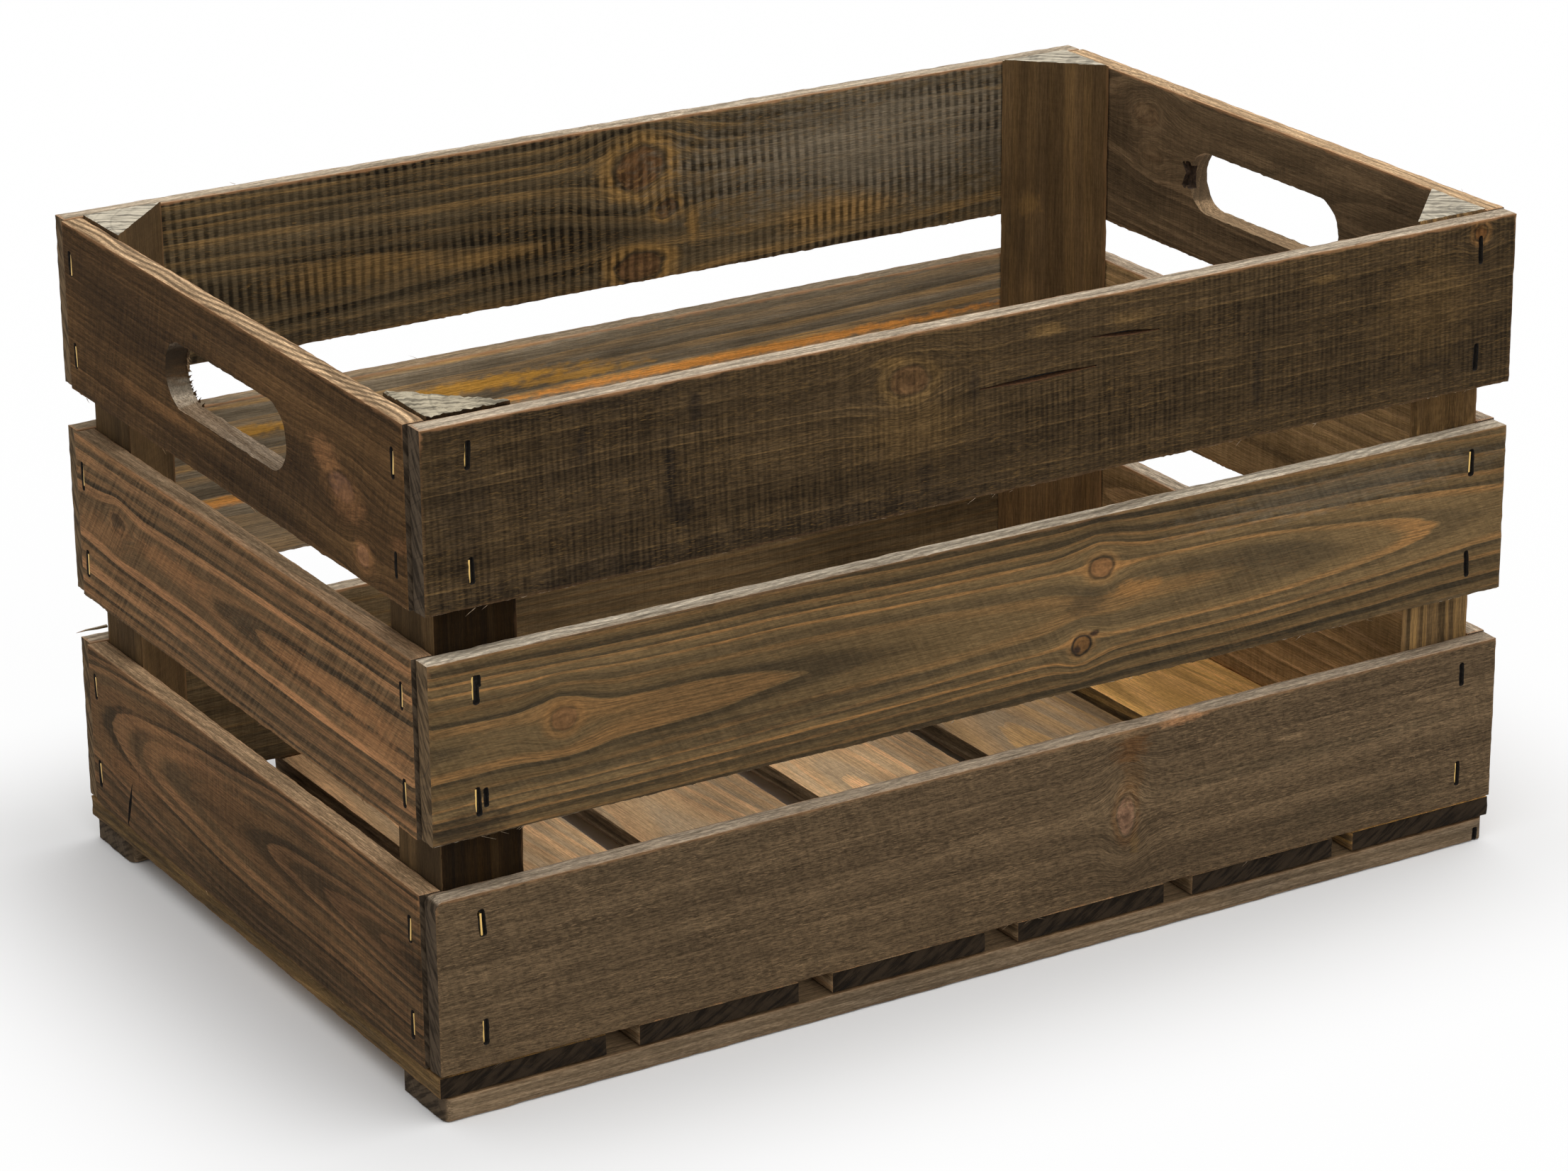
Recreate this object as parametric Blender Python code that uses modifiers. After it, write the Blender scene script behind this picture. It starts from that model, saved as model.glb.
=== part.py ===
"""Wooden apple crate: slatted walls stapled to four corner posts, over a boarded bottom on two runners.

Metres, +Z up. The origin is the middle of the footprint, on the plane that the runners stand on.
The long walls face -Y (front) and +Y (back), and the walls with hand holes face -X and +X.
"""

import math

import bmesh
import bpy
from mathutils import Matrix, Vector

# Driving dimensions: walls
SIDE_SLAT_LENGTH = 0.500
CRATE_DEPTH = 0.320
SLAT_HEIGHT = 0.072
SLAT_THICKNESS = 0.0095
END_SLAT_PROUD = 0.0015
LOWER_AIR_GAP = 0.022
UPPER_AIR_GAP = 0.0183
HAND_HOLE_LENGTH = 0.107
HAND_HOLE_HEIGHT = 0.028

# Driving dimensions: corner posts
POST_LEG = 0.035
POST_PROUD = 0.001

# Driving dimensions: bottom
BOARD_WIDTH = 0.072
BOARD_THICKNESS = 0.009
BOARD_LEAST_GAP = 0.009
BOARD_DRIFT = 0.004
BOARD_SETBACK = 0.001
RUNNER_WIDTH = 0.036
RUNNER_THICKNESS = 0.010
RUNNER_SETBACK = 0.001
RUNNER_END_SETBACK = 0.0015

# Driving dimensions: staples
STAPLE_CROWN = 0.009
STAPLE_WIRE = 0.0011
STAPLE_SINK = 0.0004
SIDE_STAPLE_INSET = 0.019
END_STAPLE_INSET = 0.008
SIDE_STAPLE_DROP = 0.013
WALL_STAPLE_BITE = 0.015
RUNNER_STAPLE_BITE = 0.012

# Driving dimensions: finish and clearances
EDGE_CHAMFER = 0.0008
FIT_GAP = 0.0003
CUT_OVERRUN = 0.002
ARC_STEPS = 12

# Heights, from the floor up
BOARD_BOTTOM = RUNNER_THICKNESS + FIT_GAP
BOARD_TOP = BOARD_BOTTOM + BOARD_THICKNESS
WALL_BOTTOM = BOARD_TOP + FIT_GAP
MIDDLE_BOTTOM = WALL_BOTTOM + SLAT_HEIGHT + LOWER_AIR_GAP
TOP_BOTTOM = MIDDLE_BOTTOM + SLAT_HEIGHT + UPPER_AIR_GAP
RIM = TOP_BOTTOM + SLAT_HEIGHT
POST_TOP = RIM + POST_PROUD
SLAT_BOTTOMS = {"bottom": WALL_BOTTOM, "middle": MIDDLE_BOTTOM, "top": TOP_BOTTOM}

# Outer and inner faces of the walls
SIDE_FACE = CRATE_DEPTH / 2
END_FACE = SIDE_SLAT_LENGTH / 2 + END_SLAT_PROUD
END_SLAT_LENGTH = 2 * (SIDE_FACE - SLAT_THICKNESS - FIT_GAP)
POST_CORNER = (END_FACE - SLAT_THICKNESS - FIT_GAP, SIDE_FACE - SLAT_THICKNESS - FIT_GAP)

# Staple legs: those of a side wall and of an end wall alternate in height inside a post
LEG_SPACING = STAPLE_CROWN - STAPLE_WIRE
END_STAPLE_DROP = SIDE_STAPLE_DROP + LEG_SPACING / 2
WALL_STAPLE_REACH = SLAT_THICKNESS + FIT_GAP + WALL_STAPLE_BITE
RUNNER_STAPLE_REACH = WALL_BOTTOM + RUNNER_STAPLE_BITE

QUARTER_TURN = math.pi / 2

# The walls and the corners in order round the crate, each a quarter turn after the one before it
WALLS = ("front", "right", "back", "left")
CORNERS = ("front_left", "front_right", "back_right", "back_left")
SIDE_WALLS = ("front", "back")
END_WALLS = ("left", "right")

# The names of a wall's two ends, as it is seen from outside: the left one, then the right one
WALL_ENDS = {
    "front": ("left", "right"),
    "right": ("front", "back"),
    "back": ("right", "left"),
    "left": ("back", "front"),
}

# Stain colours
SLAT_COLOURS = {
    "front_top": (0.125, 0.098, 0.068),
    "front_middle": (0.200, 0.150, 0.090),
    "front_bottom": (0.135, 0.105, 0.075),
    "back_top": (0.190, 0.135, 0.070),
    "back_middle": (0.260, 0.180, 0.080),
    "back_bottom": (0.230, 0.165, 0.085),
    "left_top": (0.120, 0.082, 0.056),
    "left_middle": (0.190, 0.128, 0.086),
    "left_bottom": (0.180, 0.120, 0.085),
    "right_top": (0.110, 0.082, 0.050),
    "right_middle": (0.130, 0.095, 0.058),
    "right_bottom": (0.140, 0.105, 0.065),
}
POST_COLOUR = (0.155, 0.100, 0.050)
BOARD_COLOUR = (0.330, 0.220, 0.115)
RUNNER_COLOUR = (0.170, 0.140, 0.100)
STAPLE_COLOUR = (0.720, 0.480, 0.160)
WOOD_ROUGHNESS = 0.85
STAPLE_ROUGHNESS = 0.35


def clear_scene():
    for thing in list(bpy.data.objects):
        bpy.data.objects.remove(thing, do_unlink=True)


def new_collection(name):
    collection = bpy.data.collections.new(name)
    bpy.context.scene.collection.children.link(collection)
    return collection


def new_material(name, colour, roughness, metallic):
    material = bpy.data.materials.new(name)
    material.use_nodes = True
    shader = material.node_tree.nodes["Principled BSDF"]
    shader.inputs["Base Color"].default_value = (*colour, 1.0)
    shader.inputs["Roughness"].default_value = roughness
    shader.inputs["Metallic"].default_value = metallic
    return material


def move_to(thing, collection):
    for owner in list(thing.users_collection):
        owner.objects.unlink(thing)
    collection.objects.link(thing)


def wall_turn(wall):
    return WALLS.index(wall) * QUARTER_TURN


def on_wall(wall, along, inward, height):
    """A point from its place along a wall, its depth from the wall's outer face and its height."""
    face = SIDE_FACE if wall in SIDE_WALLS else END_FACE
    return Matrix.Rotation(wall_turn(wall), 3, "Z") @ Vector((along, inward - face, height))


def slat_length(wall):
    return SIDE_SLAT_LENGTH if wall in SIDE_WALLS else END_SLAT_LENGTH


class Crate:
    """The collections that the pieces go into, and the ways to add a piece."""

    def __init__(self):
        self.parts = new_collection("apple_crate")
        self.cutters = new_collection("apple_crate_cutters")
        self.origin = bpy.data.objects.new("apple_crate_origin", None)
        self.parts.objects.link(self.origin)
        self.staple_metal = new_material("staple_wire", STAPLE_COLOUR, STAPLE_ROUGHNESS, 1.0)

    def keep(self, piece, material):
        move_to(piece, self.parts)
        piece.parent = self.origin
        piece.data.materials.clear()
        piece.data.materials.append(material)

    def keep_wood(self, piece, colour):
        self.keep(piece, new_material(piece.name + "_wood", colour, WOOD_ROUGHNESS, 0.0))

    def add_board(self, name, size, centre, turn, colour):
        bpy.ops.mesh.primitive_cube_add(size=1, location=centre)
        board = bpy.context.object
        board.name = name
        board.scale = size
        bpy.ops.object.transform_apply(location=False, rotation=False, scale=True)
        board.rotation_euler.z = turn
        chamfer = board.modifiers.new("worn_edges", "BEVEL")
        chamfer.width = EDGE_CHAMFER
        chamfer.segments = 1
        chamfer.limit_method = "ANGLE"
        self.keep_wood(board, colour)
        return board

    def add_cutter(self, name, mesh, location, rotation):
        cutter = bpy.data.objects.new(name, mesh)
        cutter.location = location
        cutter.rotation_euler = rotation
        cutter.hide_render = True
        cutter.display_type = "WIRE"
        self.cutters.objects.link(cutter)
        return cutter


def outline_curve(name, points, thickness):
    """A flat closed outline in XY, given a thickness centred on Z = 0."""
    curve = bpy.data.curves.new(name, "CURVE")
    curve.dimensions = "2D"
    curve.fill_mode = "BOTH"
    curve.extrude = thickness / 2
    spline = curve.splines.new("POLY")
    spline.points.add(len(points) - 1)
    for spot, (x, y) in zip(spline.points, points):
        spot.co = (x, y, 0.0, 1.0)
    spline.use_cyclic_u = True
    return curve


def outline_mesh(name, points, thickness):
    """The same solid as one closed mesh, for a piece that is cut or that cuts."""
    helper = bpy.data.objects.new(name, outline_curve(name, points, thickness))
    bpy.context.scene.collection.objects.link(helper)
    bpy.context.view_layer.update()
    graph = bpy.context.evaluated_depsgraph_get()
    mesh = bpy.data.meshes.new_from_object(helper.evaluated_get(graph))
    mesh.name = name
    curve = helper.data
    bpy.data.objects.remove(helper)
    bpy.data.curves.remove(curve)
    work = bmesh.new()
    work.from_mesh(mesh)
    bmesh.ops.remove_doubles(work, verts=work.verts, dist=1e-6)
    bmesh.ops.recalc_face_normals(work, faces=work.faces)
    work.to_mesh(mesh)
    work.free()
    return mesh


def staple_outline(reach):
    """A staple seen flat: its crown across X, its legs along +Y with chisel points, Y = 0 at the wood's face."""
    half = STAPLE_CROWN / 2
    inside = half - STAPLE_WIRE
    crown_top = STAPLE_SINK
    crown_bottom = STAPLE_SINK + STAPLE_WIRE
    shoulder = reach - STAPLE_WIRE
    return [
        (-half, crown_top),
        (half, crown_top),
        (half, reach),
        (inside, shoulder),
        (inside, crown_bottom),
        (-inside, crown_bottom),
        (-inside, shoulder),
        (-half, reach),
    ]


def staple_slot_outline(reach):
    """The room that a staple takes in the wood, open at the face and clear of the wire all round."""
    half = STAPLE_CROWN / 2 + FIT_GAP
    inside = STAPLE_CROWN / 2 - STAPLE_WIRE - FIT_GAP
    crown_bottom = STAPLE_SINK + STAPLE_WIRE + FIT_GAP
    leg_end = reach + FIT_GAP
    return [
        (-half, -CUT_OVERRUN),
        (half, -CUT_OVERRUN),
        (half, leg_end),
        (inside, leg_end),
        (inside, crown_bottom),
        (-inside, crown_bottom),
        (-inside, leg_end),
        (-half, leg_end),
    ]


def slot_outline(length, height):
    """A slot with round ends, long along X."""
    radius = height / 2
    offset = length / 2 - radius
    points = []
    for side in (1, -1):
        for step in range(ARC_STEPS + 1):
            angle = math.pi * step / ARC_STEPS - QUARTER_TURN
            points.append((side * (offset + radius * math.cos(angle)), side * radius * math.sin(angle)))
    return points


def cut(piece, cutter):
    boolean = piece.modifiers.new(cutter.name, "BOOLEAN")
    boolean.operation = "DIFFERENCE"
    boolean.solver = "EXACT"
    boolean.object = cutter


def make_posts(crate):
    """Square timber sawn along its diagonal, the square corner in the crate's corner."""
    posts = {}
    height = POST_TOP - WALL_BOTTOM
    corner_x, corner_y = POST_CORNER
    for quarter_turns, name in enumerate(CORNERS):
        profile = [(0.0, 0.0), (POST_LEG, 0.0), (0.0, POST_LEG)]
        post = bpy.data.objects.new(name + "_post", outline_mesh(name + "_post", profile, height))
        side_y, side_x = name.split("_")
        x = -corner_x if side_x == "left" else corner_x
        y = -corner_y if side_y == "front" else corner_y
        post.location = (x, y, WALL_BOTTOM + height / 2)
        post.rotation_euler.z = quarter_turns * QUARTER_TURN
        crate.keep_wood(post, POST_COLOUR)
        posts[name] = post
    return posts


def make_slats(crate):
    """Three slats on each wall. The long ones cover the ends of the short ones."""
    slats = {}
    for wall in WALLS:
        size = (slat_length(wall), SLAT_THICKNESS, SLAT_HEIGHT)
        for level, bottom in SLAT_BOTTOMS.items():
            key = wall + "_" + level
            centre = on_wall(wall, 0, SLAT_THICKNESS / 2, bottom + SLAT_HEIGHT / 2)
            slats[key] = crate.add_board(key + "_slat", size, centre, wall_turn(wall), SLAT_COLOURS[key])
    return slats


def cut_hand_holes(crate, slats):
    mesh = outline_mesh(
        "hand_hole",
        slot_outline(HAND_HOLE_LENGTH, HAND_HOLE_HEIGHT),
        2 * (SLAT_THICKNESS + CUT_OVERRUN),
    )
    for wall in END_WALLS:
        place = on_wall(wall, 0, 0, TOP_BOTTOM + SLAT_HEIGHT / 2)
        rotation = (QUARTER_TURN, 0, wall_turn(wall))
        cut(slats[wall + "_top"], crate.add_cutter(wall + "_hand_hole", mesh, place, rotation))


def make_boards(crate):
    """Bottom boards across the crate, as many as fit with the least gap between them.

    They were set by eye from the left, so those past the middle have crept to the right.
    """
    count = int((SIDE_SLAT_LENGTH + BOARD_LEAST_GAP) / (BOARD_WIDTH + BOARD_LEAST_GAP))
    pitch = (SIDE_SLAT_LENGTH - BOARD_WIDTH) / (count - 1)
    size = (BOARD_WIDTH, CRATE_DEPTH - 2 * BOARD_SETBACK, BOARD_THICKNESS)
    boards = []
    for index in range(count):
        drift = BOARD_DRIFT * math.sin(math.pi * (index / (count - 1)) ** 2)
        centre = (pitch * (index - (count - 1) / 2) + drift, 0, BOARD_BOTTOM + BOARD_THICKNESS / 2)
        boards.append(crate.add_board(f"bottom_board_{index + 1}", size, centre, 0, BOARD_COLOUR))
    return boards


def make_runners(crate):
    """Two flat battens along the crate, under the ends of the bottom boards."""
    runners = {}
    size = (SIDE_SLAT_LENGTH - 2 * RUNNER_END_SETBACK, RUNNER_WIDTH, RUNNER_THICKNESS)
    reach = SIDE_FACE - RUNNER_SETBACK - RUNNER_WIDTH / 2
    for side, y in (("front", -reach), ("back", reach)):
        centre = (0, y, RUNNER_THICKNESS / 2)
        runners[side] = crate.add_board(side + "_runner", size, centre, 0, RUNNER_COLOUR)
    return runners


def add_staple(crate, name, curve, slot, location, rotation, pieces):
    """One staple, and its slot cut in each piece that it holds."""
    staple = bpy.data.objects.new(name, curve)
    staple.location = location
    staple.rotation_euler = rotation
    crate.keep(staple, crate.staple_metal)
    cutter = crate.add_cutter(name + "_slot", slot, location, rotation)
    for piece in pieces:
        cut(piece, cutter)


def staple_walls(crate, slats, posts):
    """The upper staple of each slat end, crown upright, through the slat into its post."""
    curve = outline_curve("wall_staple", staple_outline(WALL_STAPLE_REACH), STAPLE_WIRE)
    slot_width = STAPLE_WIRE + 2 * FIT_GAP
    slot = outline_mesh("wall_staple_slot", staple_slot_outline(WALL_STAPLE_REACH), slot_width)
    for wall in WALLS:
        is_side = wall in SIDE_WALLS
        drop = SIDE_STAPLE_DROP if is_side else END_STAPLE_DROP
        reach = slat_length(wall) / 2 - (SIDE_STAPLE_INSET if is_side else END_STAPLE_INSET)
        rotation = (0, -QUARTER_TURN, wall_turn(wall))
        for level, bottom in SLAT_BOTTOMS.items():
            for along, end in zip((-reach, reach), WALL_ENDS[wall]):
                corner = f"{wall}_{end}" if is_side else f"{end}_{wall}"
                place = on_wall(wall, along, 0, bottom + SLAT_HEIGHT - drop)
                held = (slats[f"{wall}_{level}"], posts[corner])
                name = f"{wall}_{level}_staple_{end}"
                add_staple(crate, name, curve, slot, place, rotation, held)


def staple_bottom(crate, slats, boards, runners):
    """One staple at each end of each bottom board, up through the runner and the board into the wall."""
    curve = outline_curve("runner_staple", staple_outline(RUNNER_STAPLE_REACH), STAPLE_WIRE)
    slot_width = STAPLE_WIRE + 2 * FIT_GAP
    slot = outline_mesh("runner_staple_slot", staple_slot_outline(RUNNER_STAPLE_REACH), slot_width)
    wall_middle = SIDE_FACE - SLAT_THICKNESS / 2
    for board in boards:
        for side, y in (("front", -wall_middle), ("back", wall_middle)):
            held = (runners[side], board, slats[side + "_bottom"])
            place = (board.location.x, y, 0)
            name = f"{board.name}_staple_{side}"
            add_staple(crate, name, curve, slot, place, (QUARTER_TURN, 0, 0), held)


def main():
    clear_scene()
    crate = Crate()
    posts = make_posts(crate)
    slats = make_slats(crate)
    cut_hand_holes(crate, slats)
    boards = make_boards(crate)
    runners = make_runners(crate)
    staple_walls(crate, slats, posts)
    staple_bottom(crate, slats, boards, runners)


main()
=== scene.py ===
"""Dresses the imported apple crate: rough-sawn stained pine, gold-coloured staples and a plain stage."""

import math
import random
from typing import NamedTuple

import bmesh
import bpy
from bpy.props import FloatProperty, FloatVectorProperty, IntProperty, PointerProperty
from mathutils import Euler, Matrix, Vector


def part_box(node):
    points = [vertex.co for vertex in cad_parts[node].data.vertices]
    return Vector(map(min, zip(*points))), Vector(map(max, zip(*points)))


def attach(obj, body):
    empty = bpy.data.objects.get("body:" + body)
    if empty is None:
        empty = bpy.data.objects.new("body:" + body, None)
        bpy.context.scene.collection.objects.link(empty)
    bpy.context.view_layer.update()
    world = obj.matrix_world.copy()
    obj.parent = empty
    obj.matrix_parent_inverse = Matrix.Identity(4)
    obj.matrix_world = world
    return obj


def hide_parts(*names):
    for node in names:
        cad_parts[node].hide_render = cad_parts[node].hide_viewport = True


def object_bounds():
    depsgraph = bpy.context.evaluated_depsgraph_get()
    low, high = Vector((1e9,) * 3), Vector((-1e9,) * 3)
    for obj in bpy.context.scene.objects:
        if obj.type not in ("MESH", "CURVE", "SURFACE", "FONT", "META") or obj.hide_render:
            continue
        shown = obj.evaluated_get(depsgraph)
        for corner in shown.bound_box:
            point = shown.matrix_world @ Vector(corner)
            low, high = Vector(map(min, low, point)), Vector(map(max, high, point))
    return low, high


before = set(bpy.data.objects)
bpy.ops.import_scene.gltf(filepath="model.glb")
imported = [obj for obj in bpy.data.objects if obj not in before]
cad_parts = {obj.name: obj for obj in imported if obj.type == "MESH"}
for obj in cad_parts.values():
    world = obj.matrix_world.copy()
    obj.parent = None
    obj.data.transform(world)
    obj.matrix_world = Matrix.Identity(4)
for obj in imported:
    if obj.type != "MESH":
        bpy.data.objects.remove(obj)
CAD_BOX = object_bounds()

bl_info = {
    "name": "Apple Crate Dressing",
    "version": (1, 0, 0),
    "blender": (4, 5, 0),
    "location": "View3D > Sidebar > Crate",
    "description": "Builds the sawn boards, staples and stage of a wooden apple crate on its packed frame",
    "category": "Object",
}

MM = 0.001
BODY = "root"
LEVELS = ("top", "middle", "bottom")
BOARD_COUNT = 6

# Each kind of piece has its own axes: along the grain, across the width and through the thickness.
# The letters are the crate's axes, and the matrix turns the crate's axes into the piece's.
SIDE_AXES = "xzy"
END_AXES = "yzx"
POST_AXES = "zxy"
BOARD_AXES = "yxz"
RUNNER_AXES = "xyz"
TURNS = {
    SIDE_AXES: Matrix(((1, 0, 0), (0, 0, 1), (0, -1, 0))),
    END_AXES: Matrix(((0, 1, 0), (0, 0, 1), (1, 0, 0))),
    POST_AXES: Matrix(((0, 0, 1), (1, 0, 0), (0, 1, 0))),
    BOARD_AXES: Matrix(((0, 1, 0), (-1, 0, 0), (0, 0, 1))),
    RUNNER_AXES: Matrix.Identity(3),
}
WALL_AXES = {"front": SIDE_AXES, "back": SIDE_AXES, "left": END_AXES, "right": END_AXES}
WALL_ENDS = {
    "front": ("left", "right"),
    "back": ("left", "right"),
    "left": ("front", "back"),
    "right": ("front", "back"),
}
SIDE_WALLS = ("front", "back")
# Turn about the upright that brings a staple made for the front wall to each wall.
WALL_TURN = {"front": 0.0, "back": math.pi, "left": -math.pi / 2, "right": math.pi / 2}


def axis_of(letter):
    return "xyz".index(letter)


def outward(wall):
    """Which way a wall's outer face looks along the axis through it: -1 or 1."""
    return -1.0 if wall in ("front", "left") else 1.0


def wall_turn(wall):
    return Matrix.Rotation(WALL_TURN[wall], 4, "Z")


class Knot(NamedTuple):
    """A knot in a board, in millimetres from the middle of its face, and the pale wood round it."""

    along: float
    across: float
    reach: float
    stretch: float = 1.2
    heart: str = "knot_brown"
    share: float = 0.8
    halo: str = "ochre"
    glow: float = 0.4
    rim: float = 0.5


class Mark(NamedTuple):
    """A soft patch of stain or bare wood on a board, in millimetres from the middle of its face."""

    along: float
    across: float
    half_length: float
    half_height: float
    colour: str
    share: float = 0.6


class Crack(NamedTuple):
    """A split in the outer face, in millimetres from its middle. Slope is in degrees from the grain."""

    along: float
    across: float
    length: float
    width: float
    slope: float = 0.0


class Grain(NamedTuple):
    """How a board was cut from the log. Lengths are in millimetres, strengths and shares from 0 to 1."""

    pith: tuple = (60.0, 60.0)
    drift: tuple = (0.0, 0.0)
    ring: float = 3.0
    phase: float = 0.0
    wander: float = 2.0
    late: float = 0.6
    late_share: float = 0.4
    soak: float = 0.5
    soak_share: float = 0.5
    band: float = 0.3
    crisp: float = 0.45


class Sawing(NamedTuple):
    """What the saw left on a board's faces. The pitch is in millimetres, the lean is a slope."""

    pitch: float = 2.0
    depth: float = 0.4
    lean: float = 0.03
    nap: float = 0.4
    fuzz: float = 0.2
    beat: float = 0.0


class Finish(NamedTuple):
    """The stain, grain and sawing of one board. Soaked early wood is darkest, hard late wood brightest."""

    early: str
    late: str
    soak: str
    grain: Grain = Grain()
    sawing: Sawing = Sawing()
    gain: float = 1.0
    cloud: float = 0.35
    edge: float = 0.95
    edge_rings: float = 0.3
    # How strongly the worn arrises show, with their painted highlight on the upper edges.
    wear_and_highlight: float = 0.6
    edge_colour: str = "raw_edge"
    end_colour: str = "end_grain"
    knots: tuple = ()
    marks: tuple = ()
    cracks: tuple = ()


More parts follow.
